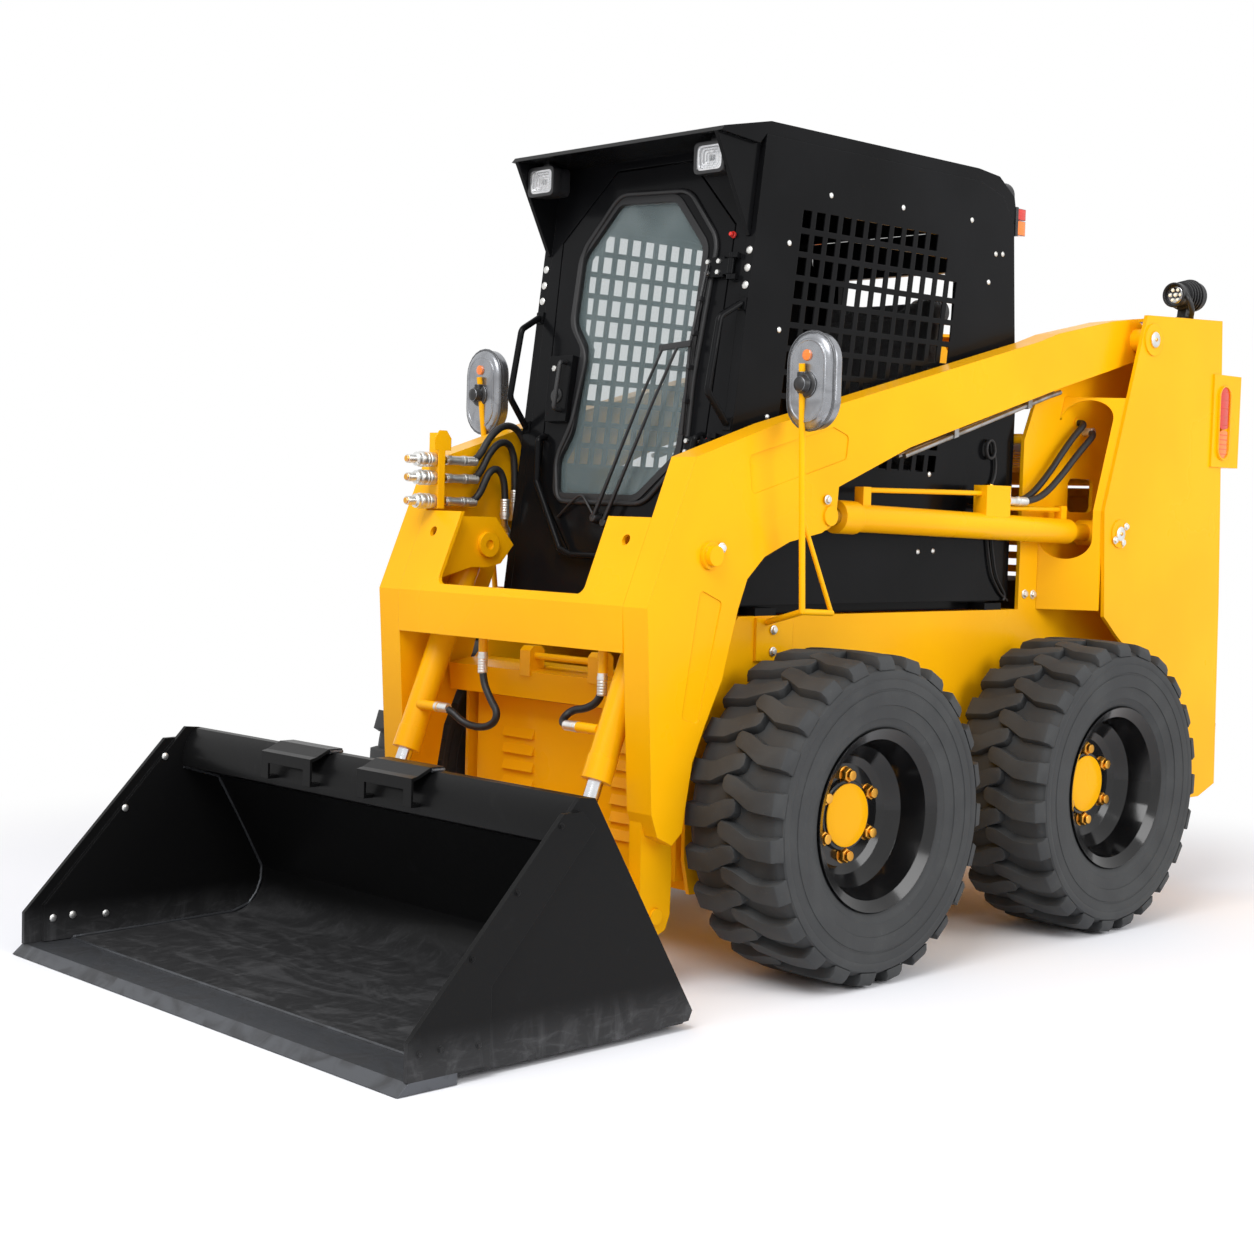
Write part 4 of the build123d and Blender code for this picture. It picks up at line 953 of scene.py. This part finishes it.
doorFacts = {
    "seal": [(-112, 2017), (151, 2004), (275, 1865), (246, 1504), (252, 1311), (117, 1182), (-219, 1183),
             (-245, 1301), (-200, 1388), (-171, 1582), (-239, 1667), (-235, 1873)],
    "pane": [(-111, 1994), (-235, 1855), (-240, 1674), (-182, 1605), (-196, 1373), (-239, 1297), (-226, 1204),
             (82, 1201), (215, 1312), (222, 1506), (228, 1851), (104, 1984)],
    "sealThick": 7.5,
    "knobs": [(325, 1874), (330, 1347)],
    "hingeNuts": [(x, z) for x in (262, 300) for z in (1316, 1344, 1776, 1804)],
}
wiperFacts = {
    "pivots": [(-43, 1139), (-2, 1127)],
    "elbows": [(153, 1588), (204, 1583)],
    "plate": [(140, 1592), (252, 1600), (252, 1584), (140, 1576)],
    "blade": [(266, 1796), (241, 1591), (247, 1359)],
    "washerTube": [(-60, 1150, 12), (-110, 1205, 16), (-150, 1180, 14), (-205, 1140, 6)],
}


def makeSeal(facts):
    shape = Shape()
    shape.tube([onFace(*p, 3) for p in rounded(facts["seal"], 35, 6)], facts["sealThick"], 8, closed=True)
    inner = rounded(facts["pane"], 22)
    shape.ring(grown(inner, 16), grown(inner, -4), onFace, -12, 3.5)
    shape.make("door_seal", [finishes["hose_rubber"]], "cab_door", "hose_rubber", 1.5)


def makeDoorFittings(facts):
    shape = Shape()
    # red knobs, the lock's keyhole plate and its screw
    for x, z in facts["knobs"]:
        shape.turned([(0, 0), (0, 9), (4, 9), (7, 6), (10, 7), (15, 5.5), (16, 0)], onFace(x, z, -1), offFace, 16, 1)
    shape.turned([(0, 0), (0, 22), (4, 21), (5, 12), (12, 11), (13, 0)], onFace(-252, 1470, 21.5), offFace)
    shape.turned([(0, 0), (0, 9), (6, 9), (7, 7), (7, 0)], onFace(-272, 1545, 21.5), offFace, 6, 2)
    # the grab bar of the latch
    handle = [onFace(*p) for p in ((-228, 1560, 20), (-228, 1560, 46), (-232, 1430, 46), (-232, 1430, 20))]
    shape.tube(rounded(handle, 14, 5, False), 6.5)
    for x, z in facts["hingeNuts"]:
        shape.turned([(0, 0), (0, 7.5), (5.1, 7.5), (6, 6.975), (6, 0)], onFace(x, z, 15.5), offFace, 6, 2)
    shape.make("door_fittings", [trimBlack, redPlastic, zinc], "cab_door", "cab_trim", 0.6)


def makeWiper(facts):
    shape = Shape()
    for (x, z), (u, v) in zip(facts["pivots"], facts["elbows"]):
        shape.turned([(0, 0), (0, 15), (20, 13), (26, 10), (26, 0)], onFace(x, z, 4), offFace, 18)
        arm = [onFace(x + (u - x) * share, z + (v - z) * share, proud)
               for share, proud in ((0, 26), (0.3, 30), (0.7, 36), (1, 34))]
        shape.tube(arm, [6.5, 5, 4, 4], 8)
    shape.slab(facts["plate"], onFace, 30, 37)
    high, middle, low = facts["blade"]
    for proud, thick in ((26, 4.2), (18, 3)):
        shape.tube([onFace(*high, proud - 4), onFace(*middle, proud), onFace(*low, proud - 4)], thick, 8)
    for share in (0.2, 0.4, 0.6, 0.8):
        x = low[0] + (high[0] - low[0]) * share - 12 * (1 - abs(2 * share - 1))
        z = low[1] + (high[1] - low[1]) * share
        shape.slab([(x - 5, z - 6), (x + 5, z - 6), (x + 5, z + 6), (x - 5, z + 6)], onFace, 12, 30)
    shape.tube(rounded([onFace(*p) for p in facts["washerTube"]], 30, 5, False), 3.5, 8)
    shape.make("wiper", [trimBlack], "cab_door", "cab_trim", 0.6)


makeSeal(doorFacts)
makeDoorFittings(doorFacts)
makeWiper(wiperFacts)
print("door fitted")


# Lamps

frontLampFacts = {"halfX": 50, "halfZ": 38, "corner": 16, "x": 319, "y": -728, "z": 2058, "steps": 5, "ribs": 5,
                  "ribGap": 17, "stepWide": 0.17, "deep": 12.5}
towerLampFacts = {"x": 500, "y": 1180, "z": 1880, "chips": 6, "chipCircle": 18, "fins": 5, "foot": (1235, 1803),
                  "arm": [(30, -10, 6), (52, -40, 30), (50, -58, 62), (30, -50, 82)]}
tailFacts = {"y": 1350, "half": 30, "low": 1378, "high": 1602, "split": 1468, "x": 585, "ribs": 5,
             "rear": 1440, "rearLow": 512, "rearHigh": 574, "rearRibs": 9}


def stadium(halfX, halfZ, steps=12):
    out = []
    for centre, first in ((halfZ - halfX, 0), (halfX - halfZ, math.pi)):
        for i in range(steps + 1):
            angle = first + math.pi * i / steps
            out.append(Vector((halfX * math.cos(angle), centre + halfX * math.sin(angle))))
    return out


def oblong(left, low, right, high, corner, steps=5):
    return rounded([(right, low), (right, high), (left, high), (left, low)], corner, steps)


def makeFrontLamps(facts):
    housing, glass = Shape(), Shape()
    outer, middle, inner = [oblong(-x, -z, x, z, facts["corner"]) for x, z in (
        (facts["halfX"] + more, facts["halfZ"] + more) for more in (2, -6, -6.5))]
    for hand in (1, -1):
        def place(u, v, h):
            return spot(hand * facts["x"] + u, facts["y"] - h, facts["z"] + v)

        housing.ring(outer, middle, place, -12, 16)
        housing.slab(middle, place, -1, 1.5, 1)
        # reflector: nested frames that step up towards the rim
        for step in range(facts["steps"]):
            share = 1 - step / facts["steps"]
            wide, narrow = [[p * part for p in inner] for part in (share, share - facts["stepWide"])]
            housing.ring(wide, narrow, place, 1, facts["deep"] * share ** 2 + 1, 1)
        housing.turned([(0, 0), (0, 10), (6, 9.5), (10, 6), (11.5, 0)], place(0, 0, 1), ahead, 20, 2)
        glass.slab(inner, place, facts["deep"], 15)
        for k in range(facts["ribs"]):
            u = (k - (facts["ribs"] - 1) / 2) * facts["ribGap"]
            glass.tube([place(u, -28, 14.5), place(u, 28, 14.5)], 2.2, 8)
        housing.box(place(-12, 36, -4), place(12, 54, -34))
    housing.make("front_lamp_bezels", [trimBlack, reflector, clearLens], "root", "lamp", 0.8)
    glass.make("front_lamp_lenses", [clearLens], "root", "glass", 0.6)


def makeTowerLamps(facts):
    shape = Shape()
    back = (0, -1, -0.036)
    chip = [(0, 0), (0, 6.2), (4, 5.5), (6, 3), (6.5, 0)]
    for hand in (1, -1):
        nose = spot(hand * facts["x"], facts["y"], facts["z"])
        shape.turned([(-6, 33.5), (-6, 38.5), (12, 38.5), (14, 37), (14, 32), (-6, 33.5)], nose, back, 40)
        shape.turned([(0, 0), (0, 32.5), (1, 32.5), (4, 24), (1, 14), (1, 0)], nose, back, 40, 1)
        for k in range(facts["chips"]):
            angle = 2 * math.pi * k / facts["chips"]
            out = Vector((math.cos(angle), 0, math.sin(angle))) * facts["chipCircle"]
            shape.turned(chip, nose + out, back, 12, 2)
        shape.turned(chip, nose, back, 12, 2)
        # cooling fins round the body
        for k in range(facts["fins"]):
            along, r = -30 - k * 12, 43.75 + 2.25 * k
            shape.turned([(along, 0), (along, r), (along - 4, r), (along - 4, 0)], nose, back, 32)
        # swivel: a puck on the tower's cap with a ball, and a bent arm at the front
        foot = spot(hand * facts["x"], *facts["foot"])
        shape.turned([(0, 0), (0, 30), (10, 30), (13, 26), (13, 0)], foot, sides=28)
        shape.turned([(8, 0), (12, 12), (22, 17), (32, 12), (36, 0)], foot, sides=20)
        arm = [foot + Vector((hand * x, y, z)) for x, y, z in facts["arm"]]
        shape.tube(rounded(arm, 30, 6, False), 8.5, 12)
    shape.make("tower_lamp_parts", [trimBlack, reflector, ledChip], "root", "lamp", 0.6)


def makeTailLenses(facts):
    # two lenses behind the guard's long slot, red over amber, with a rim, and a pair that faces the rear
    shape = Shape()
    wide, middle = facts["half"], (facts["high"] + facts["low"]) / 2
    for hand in (1, -1):
        def place(u, v, h):
            return spot(hand * (facts["x"] + h), facts["y"] + u, v)

        def rear(u, v, h):
            return spot(hand * u, facts["rear"] + h, v)

        for kind, low, high in ((1, facts["low"], facts["split"] - 2), (0, facts["split"] + 2, facts["high"])):
            shape.slab(oblong(-wide, low, wide, high, wide * 0.8), place, 0, 5.5, kind)
            for k in range(facts["ribs"]):
                v = low + 14 + k * (high - low - 28) / (facts["ribs"] - 1)
                shape.tube([place(-wide * 0.8, v, 5.2), place(wide * 0.8, v, 5.2)], 1.6, 6, kind)
        outer, inner = [stadium(wide + more, (facts["high"] - facts["low"]) / 2 + more) for more in (5, 0)]
        shape.ring(outer, inner, lambda u, v, h: place(u, middle + v, h), 0.5, 8.5, 2)
        for kind, low, high in ((1, 1374, 1452), (0, 1456, 1616)):
            shape.slab(oblong(facts["rearLow"], low, facts["rearHigh"], high, 8, 4), rear, -1, 7, kind)
            for k in range(facts["rearRibs"]):
                u = facts["rearLow"] + 4.5 + k * 6.6
                shape.tube([rear(u, low + 6, 6.8), rear(u, high - 6, 6.8)], 1.8, 6, kind)
    shape.make("tail_lenses", [redLens, amberLens, yellowPaint], "root", "lamp", 0.5)


makeFrontLamps(frontLampFacts)
makeTowerLamps(towerLampFacts)
makeTailLenses(tailFacts)
print("lamps made")


# Mirrors: a ringed shell over the head, with the ball joint and its clamp

mirrorFacts = {"x": 622, "y": -670, "z": 1494, "halfX": 73, "halfZ": 120, "glassY": -640,
               "dome": [(1, -4), (1, 4), (0.97, 9), (0.90, 13.5), (0.78, 17), (0.60, 19.5)]}


def makeMirrors(facts):
    shape = Shape()
    halfX, halfZ = facts["halfX"], facts["halfZ"]
    for hand in (1, -1):
        def place(u, v, h):
            return spot(hand * facts["x"] + u, facts["y"] - h, facts["z"] + v)

        # domed shell: stacked outlines that close towards the middle
        shape.skin([[place(*p, height) for p in stadium(halfX * share, halfZ - halfX * (1 - share))]
                    for share, height in facts["dome"]])
        shape.tube([place(*p, 4) for p in stadium(halfX + 0.5, halfZ + 0.5)], 4.2, 8, 1, closed=True)
        shape.tube([place(*p, 16.5) for p in stadium(halfX * 0.74, halfZ - 20)], 3.6, 8, closed=True)
        middle = place(0, -10, 18)
        shape.turned([(-4, 0), (-4, 34), (6, 32), (10, 26), (10, 0)], middle, ahead, 28, 1)
        shape.turned([(0, 0), (4, 18), (16, 23.5), (30, 18), (36, 6), (36, 0)], middle, ahead, 24, 1)
        shape.turned([(0, 0), (0, 14), (6, 14), (8, 10), (8, 0)], place(0, 62, 18), ahead, 20, 2)
        # clamp on the post, and the mirror's glass on the rear face
        shape.tube([place(-hand * 6, -28, 30), place(-hand * 6, 20, 30)], 12.5, 14, 1)
        shape.slab(stadium(halfX - 8, halfZ - 8),
                   lambda u, v, h: spot(hand * facts["x"] + u, facts["glassY"] + h, facts["z"] + v), -0.5, 1.5, 3)
    shape.make("mirror_shells", [greyShell, trimBlack, amberLens, chrome], "root", "lamp", 0.6, 40)


makeMirrors(mirrorFacts)
print("mirrors made")


# Quick couplers: knurled collars and brass tips, as outline, sides and finish

couplerFacts = {"x": -410, "y": -1083, "heights": (1287, 1238, 1175)}
couplerTurns = [
    ([(-30, 0), (-30, 12), (-4, 12), (-2, 15), (10, 20), (12, 21.2), (22, 21.2), (24, 19.6), (30, 19.6), (31, 20.8),
      (36, 20.8), (37, 19.2), (40, 19.2), (41, 20.4), (50, 20.4), (52, 18.5), (60.5, 18.5), (60.5, 0)], 32, 0),
    ([(-34, 0), (-34, 8.5), (-29, 9.5), (-29, 0)], 20, 1),
    ([(64, 0), (64, 16.5), (76, 16.5), (78, 14), (78, 0)], 6, 0),
    ([(82, 0), (82, 12.5), (98, 12.5), (98, 0)], 20, 1),
    ([(104, 0), (104, 14.5), (118, 14.5), (118, 0)], 6, 0),
]


def makeCouplers(facts):
    shape = Shape()
    for z in facts["heights"]:
        for outline, sides, kind in couplerTurns:
            shape.turned(outline, spot(facts["x"], facts["y"], z), (0, 1, 0), sides, kind)
    shape.make("coupler_collars", [zinc, brass], "lift_arms", "worn_steel", 0.5)


makeCouplers(couplerFacts)


# Roof: hatch rim, disc, knobs, rear lamps and markers

roofFacts = {"hatch": (-306, -66, 306, 456), "disc": (50, -120, 2168), "knobs": [(240, -260, 2150), (350, 300, 2130)],
             "lamp": (312, 478, 2115), "marker": (388, 462, 1990)}


def makeRoof(facts):
    shape = Shape()
    outline = oblong(*facts["hatch"], 50)
    shape.ring(outline, grown(outline, -18), lambda *p: p, 2160, 2175.5)
    shape.turned([(0, 0), (0, 60), (6, 58), (10, 45), (10, 0)], spot(*facts["disc"]), sides=40)
    for knob in facts["knobs"]:
        shape.turned([(0, 0), (0, 9), (14, 9), (16, 15), (26, 16), (32, 11), (34, 0)], spot(*knob), sides=18)
    for hand in (1, -1):
        x, y, z = facts["lamp"]
        lamp, back = spot(hand * x, y, z), (0, 1, -0.12)
        shape.turned([(-30, 0), (-30, 30), (20, 44), (34, 46), (36, 42), (36, 0)], lamp, back, 28)
        shape.turned([(35.5, 0), (35.5, 40), (38, 38), (38, 0)], lamp, back, 28, 1)
        shape.box(lamp + Vector((-14, -10, -55)), lamp + Vector((14, 10, -15)))
        # marker lamp on the rear corner: its block, then amber under red
        x, y, z = facts["marker"]
        foot = spot(hand * x, y, z)
        for low, high, kind in (((-13, 0, 0), (13, 12, 84), 0), ((-11, 10, 4), (11, 50, 46), 2),
                                ((-11, 10, 48), (11, 50, 81), 3)):
            shape.box(foot + Vector(low), foot + Vector(high), kind)
    shape.make("roof_fittings", [trimBlack, clearLens, amberLens, redLens], "root", "lamp", 1.5)


makeRoof(roofFacts)


# Small things on the cab's left side: a coiled lead on its fitting, and two wires, all clipped flat

leadFacts = {
    "turns": 4, "steps": 24, "middle": (366, 1368), "halfY": 20, "halfZ": 26, "skin": 407.5, "rise": 6.5,
    "tail": [(407.5, 386, 1368), (407, 402, 1330), (407, 398, 1290), (407, 380, 1262)], "thick": 4.2,
    "wire": [(405, 372, 1120), (406, 384, 1060), (406, 402, 1000), (405.5, 450, 948), (405.5, 486, 930)],
    "wireThick": 3.5, "wireGap": 22,
}


def makeSideLead(facts):
    shape = Shape()
    count, (y, z) = facts["turns"] * facts["steps"], facts["middle"]
    coil = []
    for i in range(count + 1):
        angle = 2 * math.pi * i / facts["steps"]
        coil.append(spot(facts["skin"] + facts["rise"] * i / count, y + facts["halfY"] * math.cos(angle),
                         z + facts["halfZ"] * math.sin(angle)))
    shape.tube(coil, facts["thick"], 8)
    shape.tube(rounded([spot(*p) for p in facts["tail"]], 20, 5, False), facts["thick"], 8)
    shape.turned([(0, 0), (0, 8.5), (16, 8.5), (18, 6), (18, 0)], spot(407, 380, 1266), (0, -0.5, -1), 6, 1)
    for shift in (0, facts["wireGap"]):
        wire = [spot(x, y + shift, z) for x, y, z in facts["wire"]]
        wire[-1].y -= 2 * shift
        shape.tube(rounded(wire, 30, 5, False), facts["wireThick"], 8)
    shape.make("side_lead", [finishes["hose_rubber"], brass], "root", "hose_rubber")


makeSideLead(leadFacts)
print("small fittings made")


# Cushions, in metres: remeshed, blown up by the cloth solver, then seamed

cushionFacts = {
    "voxel": 0.006, "shrink": 0.010, "cap": 0.016, "pressure": 4.0, "frames": 20, "fill": 0.7,
    "seamPitch": 90, "seamHalf": 6, "seamDepth": 0.006, "seamFrom": 0.015,
}


def makeCushion(node, facts):
    mesh = nodes[node].data.copy()
    work = bmesh.new()
    work.from_mesh(mesh)
    bmesh.ops.remove_doubles(work, verts=work.verts, dist=1e-5)
    bmesh.ops.recalc_face_normals(work, faces=work.faces)
    work.to_mesh(mesh)
    work.free()
    low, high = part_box(node)
    middle, half = (low + high) / 2, (high - low) / 2
    for vertex in mesh.vertices:
        for axis in range(3):
            share = (half[axis] - facts["shrink"]) / half[axis]
            vertex.co[axis] = middle[axis] + (vertex.co[axis] - middle[axis]) * share
    pad = newPiece(node + "_pad", mesh)
    remesh = pad.modifiers.new("remesh", "REMESH")
    remesh.mode = "VOXEL"
    remesh.voxel_size = facts["voxel"]
    pad.data = plainMesh(pad)
    pad.modifiers.clear()
    rest = [v.co.copy() for v in pad.data.vertices]
    cloth = pad.modifiers.new("cloth", "CLOTH")
    cloth.settings.use_pressure = True
    cloth.settings.uniform_pressure_force = facts["pressure"]
    cloth.settings.effector_weights.gravity = 0
    cloth.point_cache.frame_start = 1
    cloth.point_cache.frame_end = facts["frames"]
    for step in range(1, facts["frames"] + 1):
        scene.frame_set(step)
    swollen = plainMesh(pad)
    pad.modifiers.clear()
    for vertex, before in zip(swollen.vertices, rest):
        move = vertex.co - before
        if move.length > facts["cap"]:
            vertex.co = before + move.normalized() * facts["cap"]
    pad.data = swollen
    scene.frame_set(1)
    # kept inside its solid, with sewn channels across the front of the pad
    lying = node == "seat_cushion"
    for vertex in pad.data.vertices:
        for axis in range(3):
            vertex.co[axis] = min(max(vertex.co[axis], low[axis]), high[axis])
        along = vertex.co.y if lying else vertex.co.z
        if (vertex.co.z - middle.z if lying else middle.y - vertex.co.y) > facts["seamFrom"]:
            beside = abs(along / toMetres % facts["seamPitch"] - facts["seamPitch"] / 2)
            depth = facts["seamDepth"] * (1 - min(beside / facts["seamHalf"], 1))
            vertex.co -= Vector((0, 0, depth)) if lying else Vector((0, -depth, 0))
    smooth = pad.modifiers.new("smooth", "SUBSURF")
    smooth.levels = smooth.render_levels = 1
    pad.data = plainMesh(pad)
    pad.modifiers.clear()
    pad.data.shade_smooth()
    pad.data.materials.clear()
    pad.data.materials.append(finishes["seat_cover"])
    settle(pad, "root")
    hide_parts(node)


for node in ("seat_cushion", "seat_back"):
    makeCushion(node, cushionFacts)
print("cushions made")

scene.view_settings.view_transform = "Standard"
